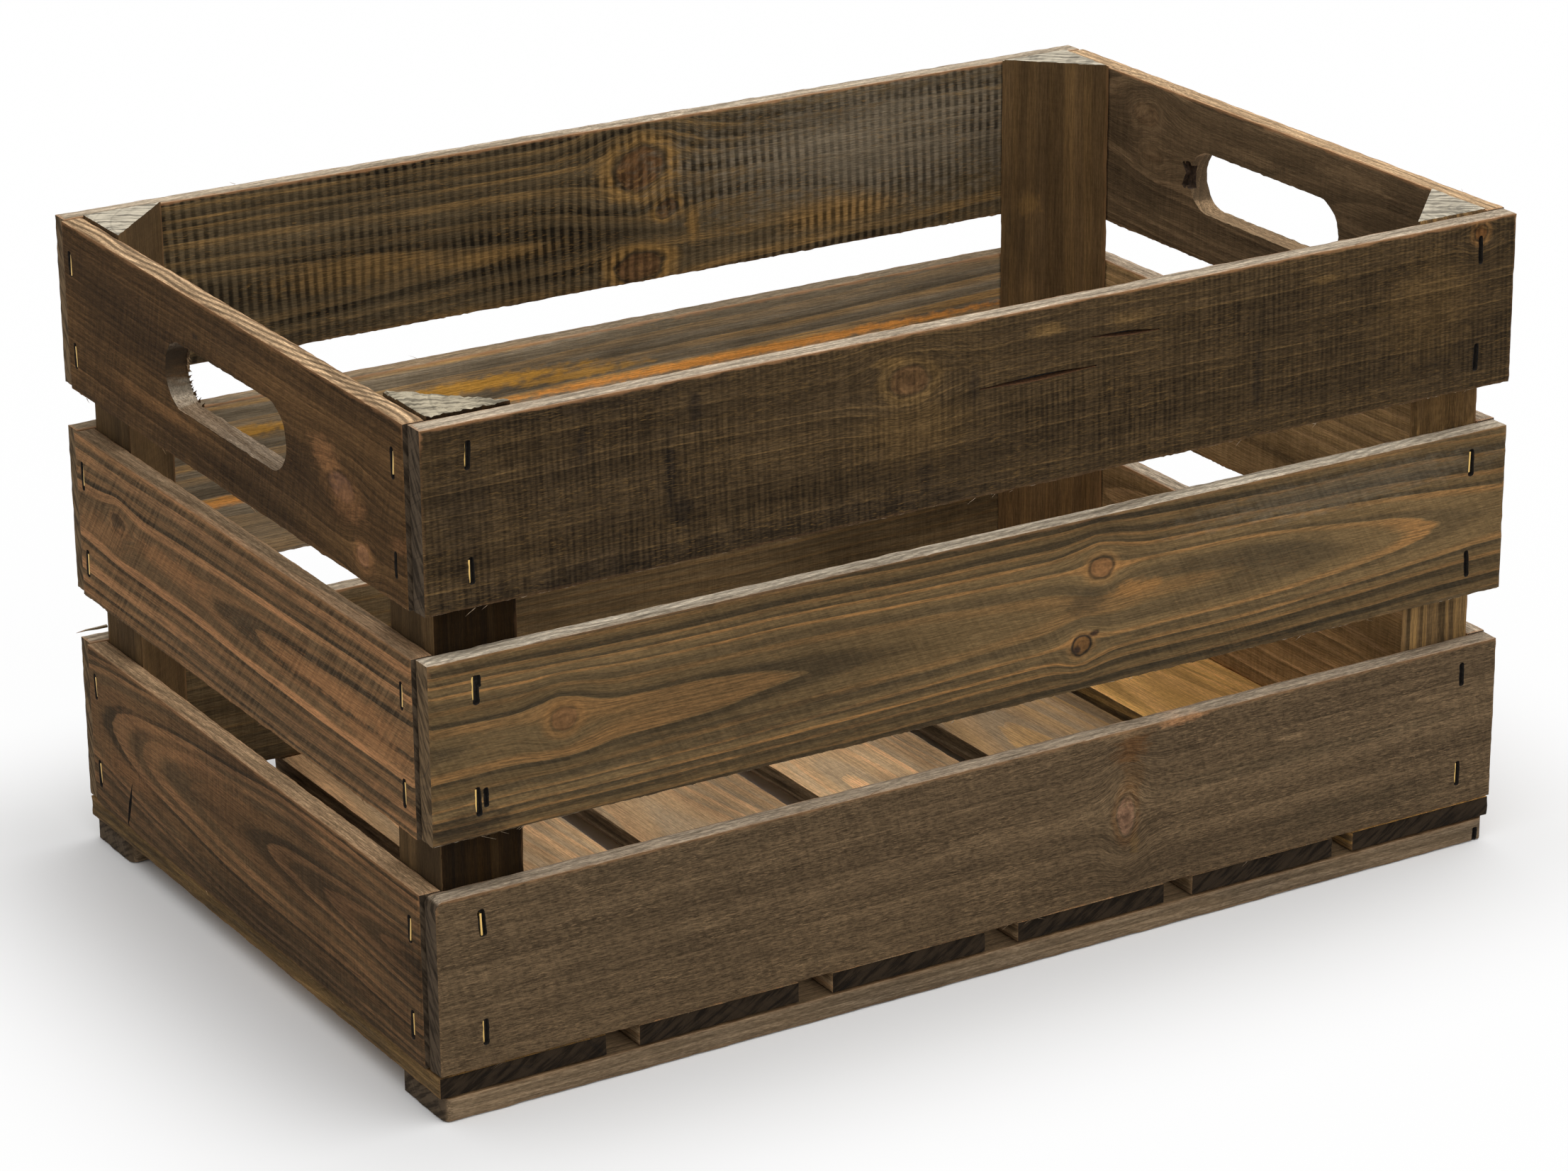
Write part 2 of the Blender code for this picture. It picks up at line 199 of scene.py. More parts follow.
FINISHES = {
    "front_top_slat": Finish(
        "walnut", "ochre", "walnut_dark",
        Grain(
            (120, 80), ring=3.4, wander=2.2, late=0.45, late_share=0.26, soak=0.3, soak_share=0.6,
            band=0.3,
        ),
        Sawing(2.4, 1.0, 0.03, 0.9, 0.5, 0.3),
        cloud=0.25, wear_and_highlight=0.5,
        knots=(
            Knot(-42, 17.5, 6.0, 1.5, "knot_brown", 0.35, "ochre", 0.45, 0.1),
            Knot(231.5, 30.5, 3.6, 1.0, "rust", 0.9, "orange", 0.4, 0.1),
        ),
        marks=(
            Mark(-147, 0, 2.6, 17, "deep_stain_and_shade", 0.85), Mark(-142, -16, 5, 8, "deep_stain_and_shade", 0.7),
            Mark(-184, 19, 2.4, 8, "deep_stain_and_shade", 0.7), Mark(-136, 24, 3.5, 9, "deep_stain_and_shade", 0.7),
            Mark(-35, -18, 4.0, 14, "deep_stain_and_shade", 0.5), Mark(121, -10, 3.0, 18, "deep_stain_and_shade", 0.6),
            Mark(-13, 10, 2.5, 9, "deep_stain_and_shade", 0.6), Mark(-235, 5, 14, 30, "deep_stain_and_shade", 0.35),
            Mark(-50, 26, 9, 2.5, "ochre", 0.6), Mark(-40, -4, 30, 14, "ochre", 0.3),
            Mark(22, 26.5, 10, 3, "ochre", 0.6), Mark(61, 25, 12, 3, "ochre", 0.3),
            Mark(154, 24, 9, 2, "ochre", 0.5), Mark(205, 2, 28, 26, "ochre", 0.3),
            Mark(-110, -33, 150, 9, "deep_stain_and_shade", 0.5), Mark(-180, 33, 80, 5, "deep_stain_and_shade", 0.45),
            Mark(-180, 0, 90, 36, "deep_stain_and_shade", 0.12),
        ),
        cracks=(Crack(16.5, 8.0, 54, 2.5, 0.0), Crack(57, 18.8, 32, 2.1, -4.0)),
    ),
    "front_middle_slat": Finish(
        "olive", "orange", "slate",
        Grain((0, 14), (0.0, 0.0284), 4.4, 0.3, 1.6, 1.0, 0.42, 1.0, 0.38, 0.3, 0.5),
        Sawing(1.8, 0.3, 0.5, 0.5, 0.15),
        gain=0.93, cloud=0.1, wear_and_highlight=0.2, edge_rings=0.45, edge_colour="pale_edge", end_colour="umber",
        knots=(
            Knot(-193.7, 3.3, 4.8, 1.25, "knot_brown", 0.85, "orange", 0.5, 0.25),
            Knot(47.6, 14.4, 4.6, 1.2, "knot_brown", 0.85, "orange", 0.3, 0.7),
            Knot(38.5, -16.6, 4.0, 1.1, "rust", 0.7, "orange", 0.3, 1.0),
        ),
        marks=(
            Mark(40, 1, 12, 7, "slate", 0.6), Mark(64, 2.4, 15, 4, "orange", 0.65),
            Mark(125, 4, 38, 6, "slate", 0.4), Mark(170, 24, 90, 9, "grey", 0.45),
            Mark(-236, -31, 22, 8, "deep_stain_and_shade", 0.6), Mark(60, -35, 220, 5, "slate", 0.5),
            Mark(-100, -13, 110, 1.6, "slate", 0.6), Mark(-60, -20, 150, 1.8, "slate", 0.55),
            Mark(-120, -27, 120, 2.0, "slate", 0.5), Mark(130, -18, 90, 1.8, "slate", 0.5),
            Mark(-160, -2, 110, 34, "slate", 0.24), Mark(36.4, -18.4, 2.2, 2.6, "knot_dark", 0.95),
            Mark(44.5, -13, 2.8, 1.6, "knot_dark", 0.95),
        ),
    ),
    "front_bottom_slat": Finish(
        "umber", "tan", "umber_dark",
        Grain(
            (-150, 60), ring=4.5, wander=1.6, late=0.15, late_share=0.5, soak=0.25, soak_share=0.5,
            band=0.2,
        ),
        Sawing(1.3, 0.35, 0.25, 1.0, 0.75),
        cloud=0.12, edge=0.55, wear_and_highlight=0.25,
        knots=(Knot(61.5, -1.0, 8.5, 0.5, "knot_pink", 0.45, "rust", 0.4, 0.25),),
        marks=(
            Mark(64, 28, 9, 9, "rust", 0.65), Mark(65, 14, 6, 14, "russet", 0.5),
            Mark(60, 34, 12, 2, "tan", 0.6), Mark(88, 34.5, 14, 2, "arris_wear_and_highlight", 0.6),
            Mark(55, 4, 3, 3, "deep_stain_and_shade", 0.4), Mark(66, -14, 3, 6, "ochre", 0.4),
            Mark(144, 14.7, 9, 1.6, "tan", 0.5), Mark(214, 16, 10, 1.6, "tan", 0.4),
            Mark(150, 6, 90, 4, "slate", 0.4), Mark(180, -24, 60, 7, "slate", 0.35),
            Mark(-150, 30, 100, 5, "umber_dark", 0.4), Mark(-170, 0, 100, 36, "umber_dark", 0.2),
        ),
    ),
    "left_top_slat": Finish(
        "russet", "pink_brown", "russet_dark",
        Grain((-110, 50), (0.03, 0.0), 3.0, 0.0, 1.6, 0.35, 0.4, 0.5, 0.6, 0.35),
        Sawing(1.4, 0.55, 0.3, 0.6, 0.3),
        gain=0.89, edge_rings=1.0, wear_and_highlight=0.3, edge_colour="tan_edge",
        knots=(
            Knot(-99, -3.3, 5.5, 2.0, "knot_pink", 0.5, "pink_brown", 0.5, 0.1),
            Knot(-115, -24, 5.0, 1.0, "knot_pink", 0.4, "pink_brown", 0.5, 0.15),
        ),
        marks=(
            Mark(66, -18.5, 50, 3.4, "pink_brown", 0.65), Mark(-86, 6, 13, 8, "pink", 0.55),
            Mark(-104, -8, 17, 8, "pink", 0.5), Mark(-116, -25, 9, 7, "pink", 0.4),
            Mark(-145, -12, 8, 4, "pink", 0.45), Mark(24, 21, 3, 2, "deep_stain_and_shade", 0.7),
            Mark(0, -30, 110, 6, "russet_dark", 0.5),
        ),
    ),
    "left_middle_slat": Finish(
        "rosewood", "pink", "plum_grey",
        Grain((3, 13), (0.0, 0.034), 5.6, 0.75, 1.8, 1.0, 0.66, 1.0, 0.46, 0.25, 0.65),
        Sawing(1.9, 0.65, 0.8, 0.45, 0.2),
        gain=1.12, cloud=0.1, edge=0.6, wear_and_highlight=0.2, edge_colour="grey_edge",
        knots=(Knot(109, 8, 4, 1.5, "knot_dark", 0.4, "pink", 0.2),),
        marks=(
            Mark(30, 27, 130, 8, "plum_grey", 0.35), Mark(-20, -27, 130, 9, "plum_grey", 0.45),
            Mark(-85, 2, 70, 6, "pink", 0.55), Mark(-120, -8, 40, 7, "pink", 0.45),
            Mark(60, 6, 45, 5, "pink", 0.45), Mark(125, 0, 30, 8, "pink", 0.3),
        ),
    ),
    "left_bottom_slat": Finish(
        "rosewood", "pink", "plum_grey",
        Grain((7, 21), (0.0, 0.1), 4.6, 0.0, 3.0, 0.75, 0.6, 0.9, 0.5, 0.5, 0.65),
        Sawing(1.4, 0.45, 0.05, 0.6, 0.25),
        gain=0.72, edge=0.6, wear_and_highlight=0.25, edge_colour="tan_edge",
        marks=(
            Mark(0, -30, 170, 13, "plum_grey", 0.6), Mark(40, 4, 40, 4, "plum_grey", 0.5),
            Mark(112, -10, 30, 6, "pink", 0.35), Mark(60, 18, 80, 8, "pink", 0.25),
        ),
        cracks=(Crack(114, -25, 24, 2.4, 72.0),),
    ),
    "back_top_slat": Finish(
        "moss", "gold", "moss_dark",
        Grain((-11, 30), (0.0, 0.02), 4.0, 0.4, 1.2, 0.8, 0.45, 0.8, 0.5, 0.35),
        Sawing(4.4, 1.1, 0.02, 0.5, 0.3, 0.75),
        gain=1.12, cloud=0.2, end_colour="umber",
        knots=(
            Knot(18.7, 15.5, 10.0, 1.25, "knot_brown", 0.8, "gold", 0.7, 0.4),
            Knot(32, 2, 4.5, 1.2, "knot_brown", 0.6, "gold", 0.6, 0.3),
            Knot(18.0, -27, 8.0, 1.5, "knot_brown", 0.7, "gold", 0.8, 0.4),
        ),
        marks=(
            Mark(-140, 0, 120, 40, "moss_dark", 0.35), Mark(150, 10, 130, 36, "grey", 0.95),
            Mark(45, -13, 4, 10, "gold", 0.7), Mark(120, -20, 36, 8, "gold", 0.6),
            Mark(-120, -8, 45, 8, "gold", 0.4), Mark(-50, -12, 40, 4, "gold", 0.4),
            Mark(-150, -33, 90, 5, "deep_stain_and_shade", 0.5),
        ),
    ),
    "back_middle_slat": Finish(
        "grey", "gold", "moss_dark",
        Grain((-20, 16), (0.03, 0.02), 7.0, 0.2, 2.2, 0.9, 0.5, 0.7, 0.4, 0.4),
        Sawing(2.0, 0.1, 0.1, 0.3, 0.15),
        gain=1.65, edge_colour="grey_edge", end_colour="umber",
        marks=(
            Mark(80, 12.5, 170, 2.4, "bright_orange", 0.9), Mark(-75, 22, 75, 3.6, "bright_gold", 0.9),
            Mark(-15, 18, 40, 2.4, "bright_gold", 0.7), Mark(-180, 21, 50, 3.4, "bright_gold", 0.8),
            Mark(-180, -8, 70, 2.6, "bright_orange", 0.7),
        ),
    ),
    "back_bottom_slat": Finish(
        "moss", "ochre", "moss_dark",
        Grain((70, 40), ring=4.0, wander=3.0),
        gain=1.4, end_colour="umber",
    ),
    "right_top_slat": Finish(
        "umber", "tan", "umber_dark",
        Grain((10, 34), (0.02, 0.06), 4.0, 0.0, 4.0, 0.5, 0.45, 0.4, 0.45, 0.3),
        gain=1.55, edge_colour="tan_edge",
        knots=(
            Knot(87, 21, 6.0, 1.6, "knot_brown", 0.2, "tan", 0.2, 0.0),
            Knot(82, 7, 6.0, 1.3, "knot_brown", 0.15, "tan", 0.2, 0.0),
        ),
        marks=(
            Mark(90, 22, 7, 5, "tan", 0.4), Mark(84, 6, 8, 4, "tan", 0.3), Mark(5, 20, 25, 3, "tan", 0.4),
            Mark(-62, 28, 30, 5, "tan", 0.4), Mark(100, -16, 40, 16, "umber_dark", 0.4),
        ),
    ),
    "right_middle_slat": Finish(
        "russet", "pink_brown", "russet_dark",
        Grain((-30, 40), ring=4.0, wander=3.0),
        gain=1.3,
    ),
    "right_bottom_slat": Finish(
        "walnut", "ochre", "walnut_dark",
        Grain((20, 30), (0.0, 0.04), 4.2, wander=3.0),
        gain=1.9,
    ),
    # The front left post's stain is darkened with painted shade from the slats over it, where it shows in
    # the gaps.
    "front_left_post": Finish(
        "shaded_post_brown", "ochre", "deep_stain_and_shade",
        Grain((30, 20), ring=6.0, wander=2.5, late=0.3, soak=0.5, band=0.5),
        gain=0.23, edge=0.0, wear_and_highlight=0.1, end_colour="rough_end",
    ),
    "front_right_post": Finish(
        "post_brown", "ochre", "walnut_dark",
        Grain(
            (14, 12), (0.0, 0.03), 5.5, wander=3.0, late=1.0, late_share=0.45, soak=0.95, soak_share=0.55,
            crisp=0.7,
        ),
        gain=1.9, edge=0.0, wear_and_highlight=0.2, end_colour="post_end",
        marks=(Mark(47, 0, 17, 60, "russet_dark", 0.95),),
    ),
    "back_left_post": Finish(
        "post_brown", "ochre", "walnut_dark",
        Grain((30, 20), ring=6.0, wander=2.0, late=0.4, soak=0.3, band=0.5),
        gain=0.75, edge=0.0, wear_and_highlight=0.2, end_colour="post_end",
    ),
    "back_right_post": Finish(
        "post_brown", "ochre", "walnut_dark",
        Grain(
            (34, 24), ring=9.0, wander=2.4, late=0.35, late_share=0.6, soak=0.3, soak_share=0.6, band=0.5,
        ),
        Sawing(1.8, 0.2, 0.05, 0.3, 0.1),
        gain=1.45, edge=0.0, wear_and_highlight=0.2, end_colour="post_end",
        marks=(Mark(62, -8, 7, 4, "ochre", 0.6),),
    ),
    "runner": Finish(
        "umber", "tan", "umber_dark",
        Grain((60, 40), ring=3.0, wander=1.5, late=0.4),
        Sawing(2.0, 0.2, 0.1, 0.5, 0.3),
        gain=1.35, edge=0.1,
    ),
}

# The six bottom boards from left to right: their stains, and how much those are brightened.
BOARD_STAINS = (
    ("ochre", "gold", "umber_dark", 1.6),
    ("tan", "pale_orange", "grey", 2.2),
    ("tan", "pale_orange", "grey", 2.5),
    ("tan", "pale_orange", "grey", 2.5),
    ("tan", "gold", "grey", 1.75),
    ("gold", "pale_orange", "ochre", 2.3),
)
BOARD_GRAIN = Grain((12, 40), (0.0, 0.04), 4.5, 0.0, 2.5, 0.7, 0.45, 0.6, 0.45, 0.4)
BOARD_SAWING = Sawing(2.0, 0.15, 0.05, 0.4, 0.2)
# How far the rings shift from one bottom board to the next, as a share of a ring.
BOARD_PHASE = 0.37


def board_finish(number):
    early, late, soak, gain = BOARD_STAINS[number - 1]
    grain = BOARD_GRAIN._replace(phase=number * BOARD_PHASE)
    colours_of_edges = {"edge_colour": "umber_dark", "end_colour": "board_end"}
    return Finish(early, late, soak, grain, BOARD_SAWING, gain, wear_and_highlight=0.1, **colours_of_edges)


def colour_property(name, description, default):
    kind = {"size": 3, "min": 0.0, "max": 1.0, "subtype": "COLOR"}
    return FloatVectorProperty(name=name, description=description, default=default, **kind)


def length_property(name, description, default):
    kind = {"min": 0.0, "precision": 5, "subtype": "DISTANCE", "unit": "LENGTH"}
    return FloatProperty(name=name, description=description, default=default, **kind)


class CrateSizes(bpy.types.PropertyGroup):
    """Sizes of what the boards carry beyond their plain solids"""

    cell_length: length_property("Cell Length", "Mesh cell along the grain", 0.0016)
    cell_width: length_property("Cell Width", "Mesh cell across the grain", 0.003)
    post_cell: length_property("Post Cell", "Mesh cell across a post", 0.0012)
    fray: length_property("Fray", "How far the lower edge of a slat is frayed", 0.0011)
    coarse_ridge: length_property("Coarse Ridge", "Height of the ridges on the coarsest post top", 0.0018)
    fine_ridge: length_property("Fine Ridge", "Height of the ridges on the other post tops", 0.0006)
    round_end: length_property("Round End", "Radius of a rounded board corner", 0.005)
    arris: length_property("Arris", "Width of the broken edge along each board", 0.0005)
    chip_depth: length_property("Chip Depth", "How deep the chips along the arris go", 0.0007)
    uneven: length_property("Uneven", "How far the sawn faces rise and fall", 0.0003)
    slit_width: length_property("Slit Width", "Width of the slit that a staple has cut", 0.0026)
    slit_length: length_property("Slit Length", "Length of the slit that a staple has cut", 0.0112)
    slit_depth: length_property("Slit Depth", "Depth of the slit that a staple has cut", 0.0025)
    crown_length: length_property("Crown Length", "Length of a staple's crown", 0.009)
    wire_width: length_property("Wire Width", "Thickness of the staple wire", 0.0009)
    leg_length: length_property("Leg Length", "Length of a staple's legs", 0.006)
    side_sink: length_property("Side Sink", "Most that a crown lies below a side slat's face", 0.0011)
    end_sink: length_property("End Sink", "Most that a crown lies below an end slat's face", 0.0002)
    slit_aside: length_property("Slit Aside", "How far a slit lies to one side of its wire", 0.0006)
    side_staple: length_property("Side Staple", "Lower staple above the edge of a side slat", 0.0145)
    end_staple: length_property("End Staple", "Lower staple above the edge of an end slat", 0.016)


class CrateColours(bpy.types.PropertyGroup):
    """Stains and bare wood of the boards"""

    walnut_dark: colour_property("Dark Walnut", "Soaked early wood of the top slats", (0.034, 0.022, 0.010))
    walnut: colour_property("Walnut", "Dark stain of the top slats", (0.061, 0.038, 0.017))
    ochre: colour_property("Ochre", "Late wood under dark stain", (0.157, 0.091, 0.031))
    deep_stain_and_shade: colour_property("Deep Stain", "Darkest stain, in smudges", (0.020, 0.014, 0.009))
    # Besides dark stain smudges, this colour lays painted shade under the top of the left hand hole.
    slate: colour_property("Slate", "Soaked early wood of the smooth slats", (0.052, 0.038, 0.021))
    olive: colour_property("Olive", "Olive stain of the smooth slats", (0.142, 0.091, 0.040))
    orange: colour_property("Orange", "Late wood of the smooth slats", (0.285, 0.138, 0.044))
    umber_dark: colour_property("Dark Umber", "Soaked grey-brown wood", (0.061, 0.042, 0.023))
    umber: colour_property("Umber", "Grey-brown stain", (0.104, 0.068, 0.036))
    tan: colour_property("Tan", "Lightly stained wood", (0.230, 0.149, 0.078))
    russet_dark: colour_property("Dark Russet", "Soaked red-brown wood", (0.045, 0.025, 0.009))
    russet: colour_property("Russet", "Red-brown stain of the left end", (0.097, 0.051, 0.019))
    pink_brown: colour_property("Pink Brown", "Late wood of the red-brown slats", (0.179, 0.088, 0.033))
    plum_grey: colour_property("Plum Grey", "Soaked bands of the pink slat", (0.064, 0.043, 0.023))
    rosewood: colour_property("Rosewood", "Stain of the pink slat", (0.150, 0.086, 0.039))
    pink: colour_property("Pink", "Late wood of the pink slat", (0.300, 0.140, 0.056))
    moss_dark: colour_property("Dark Moss", "Soaked wood inside the crate", (0.062, 0.046, 0.026))
    moss: colour_property("Moss", "Stain inside the crate", (0.128, 0.090, 0.046))
    gold: colour_property("Gold", "Bright late wood inside the crate", (0.340, 0.190, 0.058))
    bright_gold: colour_property("Bright Gold", "Unstained band inside", (0.370, 0.190, 0.032))
    bright_orange: colour_property("Bright Orange", "Unstained streak inside", (0.480, 0.200, 0.042))
    grey: colour_property("Grey", "Grey stain between bright streaks", (0.160, 0.128, 0.086))
    pale_orange: colour_property("Pale Orange", "Late wood of the bottom boards", (0.420, 0.225, 0.105))
    raw_edge: colour_property("Raw Edge", "Sawn edge with little stain", (0.650, 0.530, 0.390))
    pale_edge: colour_property("Pale Edge", "Sawn edge with the least stain", (0.710, 0.615, 0.475))
    tan_edge: colour_property("Tan Edge", "Sawn edge of a red-brown slat", (0.723, 0.486, 0.277))
    grey_edge: colour_property("Grey Edge", "Sawn edge with a grey stain", (0.330, 0.245, 0.155))
    # Worn corner of a board, laid strongest on the upper arrises: wear and painted highlight.
    arris_wear_and_highlight: colour_property("Arris Orange", "Worn corner of a board", (0.420, 0.210, 0.095))
    end_grain: colour_property("End Grain", "Stained end of a board", (0.058, 0.041, 0.026))
    board_end: colour_property("Board End", "Dark end of a bottom board", (0.018, 0.012, 0.007))
    post_end: colour_property("Post End", "Rough sawn top of a corner post", (0.400, 0.355, 0.275))
    rough_end: colour_property("Rough End", "Coarse dark top of one corner post", (0.330, 0.285, 0.205))
    # Stain of the front left post, darkened with painted shade.
    shaded_post_brown: colour_property("Gap Brown", "Stain of the front left post", (0.072, 0.034, 0.007))
    post_brown: colour_property("Post Brown", "Stain of the corner posts", (0.100, 0.060, 0.026))
    knot_brown: colour_property("Brown Knot", "Heart of a sound knot", (0.165, 0.078, 0.030))
    knot_pink: colour_property("Pink Knot", "Heart of a pale knot", (0.225, 0.112, 0.068))
    knot_dark: colour_property("Dark Knot", "Heart of a dead knot", (0.030, 0.018, 0.012))
    rust: colour_property("Rust", "Stain round a staple", (0.120, 0.052, 0.016))
    # Painted shade: the near-black inside of a slit, where the crushed wood lies in shade.
    slit_shade: colour_property("Slit Wood", "Crushed wood inside a slit", (0.012, 0.008, 0.005))
    torn_wood: colour_property("Torn Wood", "Wood torn out behind a hand hole", (0.050, 0.026, 0.011))
    # Fresh wood on the lower lip of a split, brightened with painted light where that lip looks up.
    lit_split_wood: colour_property("Split Wood", "Fresh wood inside a split", (0.170, 0.068, 0.018))
    wire_gold: colour_property("Wire Gold", "Coated staple wire", (0.380, 0.150, 0.018))
    floor: colour_property("Floor", "Plain floor", (0.84, 0.84, 0.84))


class CrateStage(bpy.types.PropertyGroup):
    """Light and camera"""

    key: FloatProperty(name="Key", description="Strength of the wide soft light", default=2.2, min=0.0)
    key_spread: FloatProperty(
        name="Key Spread",
        description="Width of the soft light as seen from the crate",
        default=math.radians(110),
        subtype="ANGLE",
        unit="ROTATION",
    )
    sky: FloatProperty(name="Sky", description="Strength of the light all round", default=0.56, min=0.0)
    lens: FloatProperty(name="Lens", description="Focal length", default=113.66, unit="CAMERA")
    seed: IntProperty(name="Seed", description="Start of every random choice", default=11, min=0)


def sizes():
    return bpy.context.scene.crate_sizes


def colours():
    return bpy.context.scene.crate_colours


def stage():
    return bpy.context.scene.crate_stage


def rgba(name):
    return (*getattr(colours(), name), 1.0)


class Wiring:
    """Adds nodes to one tree. A socket is linked, a plain number or colour is set on the input it feeds."""

    def __init__(self, tree):
        self.tree = tree

    def node(self, kind, **settings):
        made = self.tree.nodes.new(kind)
        for name, value in settings.items():
            setattr(made, name, value)
        return made

    def feed(self, socket, value):
        if isinstance(value, bpy.types.NodeSocket):
            self.tree.links.new(value, socket)
        else:
            socket.default_value = value

    def fill(self, made, *values):
        """Feeds a node's inputs in their order, and gives its outputs."""
        for socket, value in zip(made.inputs, values):
            self.feed(socket, value)
        return made.outputs

    def fill_named(self, made, values):
        """Feeds a node's inputs by name, and gives its outputs."""
        for name, value in values.items():
            self.feed(made.inputs[name], value)
        return made.outputs

    def math(self, operation, *values):
        return self.fill(self.node("ShaderNodeMath", operation=operation), *values)[0]

    def times(self, first, second):
        return self.math("MULTIPLY", first, second)

    def plus(self, first, second):
        return self.math("ADD", first, second)

    def minus(self, first, second):
        return self.math("SUBTRACT", first, second)

    def over(self, first, second):
        return self.math("DIVIDE", first, second)

    def vector(self, operation, *values):
        outputs = self.fill(self.node("ShaderNodeVectorMath", operation=operation), *values)
        return outputs["Value" if operation == "LENGTH" else "Vector"]

    def scale(self, vector, factor):
        made = self.node("ShaderNodeVectorMath", operation="SCALE")
        self.feed(made.inputs["Scale"], factor)
        return self.fill(made, vector)["Vector"]

    def split(self, vector):
        return self.fill(self.node("ShaderNodeSeparateXYZ"), vector)

    def join(self, x, y, z):
        return self.fill(self.node("ShaderNodeCombineXYZ"), x, y, z)[0]

    def noise(self, position, stretch, seed=0.0, detail=2.0, roughness=0.5):
        """Noise from 0 to 1 whose cells are about 1 / stretch millimetres along each axis."""
        cells = self.vector("MULTIPLY", position, stretch)
        moved = self.vector("ADD", cells, self.join(seed, seed, seed))
        made = self.node("ShaderNodeTexNoise", noise_dimensions="3D")
        values = {"Vector": moved, "Scale": 1.0, "Detail": detail, "Roughness": roughness}
        return self.fill_named(made, values)[0]

    def ramp(self, value, start, end, low=0.0, high=1.0):
        made = self.node("ShaderNodeMapRange", interpolation_type="SMOOTHSTEP")
        return self.fill(made, value, start, end, low, high)[0]

    def blend(self, share, first, second):
        made = self.node("ShaderNodeMix", data_type="RGBA")
        self.feed(made.inputs[0], share)
        self.feed(made.inputs[6], first)
        self.feed(made.inputs[7], second)
        return made.outputs[2]

    def place(self, group, values):
        return self.fill_named(self.node("ShaderNodeGroup", node_tree=group), values)


RING_VALUES = [
    "Pith Across", "Pith Depth", "Drift Across", "Drift Depth", "Ring Width", "Phase", "Wander",
    "Late Share", "Soak Share", "Crisp", "Seed",
]
STAIN_VALUES = [
    "Late", "Soak", "Band", "Saw Pitch", "Saw", "Saw Lean", "Nap", "Fuzz", "Saw Beat", "Cloud",
    "Edge Share", "Edge Rings", "Wear",
]
STAIN_COLOURS = [
    "Early Colour", "Late Colour", "Soak Colour", "Cloud Colour", "Edge", "End", "Arris", "Paint",
]


def new_group(name, inputs, outputs):
    """An empty shader group and its inputs, by name."""
    tree = bpy.data.node_groups.new(name, "ShaderNodeTree")
    for side, sockets in (("INPUT", inputs), ("OUTPUT", outputs)):
        for kind, labels in sockets.items():
            for label in labels:
                tree.interface.new_socket(name=label, in_out=side, socket_type="NodeSocket" + kind)
    wires = Wiring(tree)
    return wires, wires.node("NodeGroupInput").outputs


def close_group(wires, results):
    wires.fill_named(wires.node("NodeGroupOutput"), results)
    return wires.tree


def knot_flow_group():
    """Bends the grain round a knot, and gives the knot's heart, dark rim, pale halo and rings."""
    wires, given = new_group(
        "Knot Flow",
        {"Vector": ["Position"], "Float": ["Along", "Across", "Reach", "Stretch"]},
        {"Vector": ["Position"], "Float": ["Heart", "Rim", "Halo", "Rings"]},
    )
    position = given["Position"]
    centre = wires.join(given["Along"], given["Across"], 0.0)
    u, v, _ = wires.split(wires.vector("SUBTRACT", position, centre))
    flat = wires.join(wires.over(u, given["Stretch"]), v, 0.0)
    wobble = wires.minus(wires.noise(position, (0.12, 0.12, 0.05)), 0.5)
    wobble = wires.times(wobble, wires.times(given["Reach"], 0.6))
    away = wires.plus(wires.vector("LENGTH", flat), wobble)
    near = wires.over(away, given["Reach"])
    fall = wires.times(wires.math("POWER", wires.over(near, 2.4), 2.0), -1.0)
    pull = wires.times(wires.math("EXPONENT", fall), 0.86)
    shift = wires.join(0.0, wires.times(v, pull), 0.0)
    rim = wires.times(wires.ramp(near, 0.75, 0.98), wires.ramp(near, 0.98, 1.3, 1.0, 0.0))
    halo = wires.times(wires.ramp(near, 0.95, 1.2), wires.ramp(near, 1.25, 1.9, 1.0, 0.0))
    return close_group(
        wires,
        {
            "Position": wires.vector("SUBTRACT", position, shift),
            "Heart": wires.ramp(near, 0.8, 1.05, 1.0, 0.0),
            "Rim": rim,
            "Halo": halo,
            "Rings": wires.math("PINGPONG", away, 0.8),
        },
    )


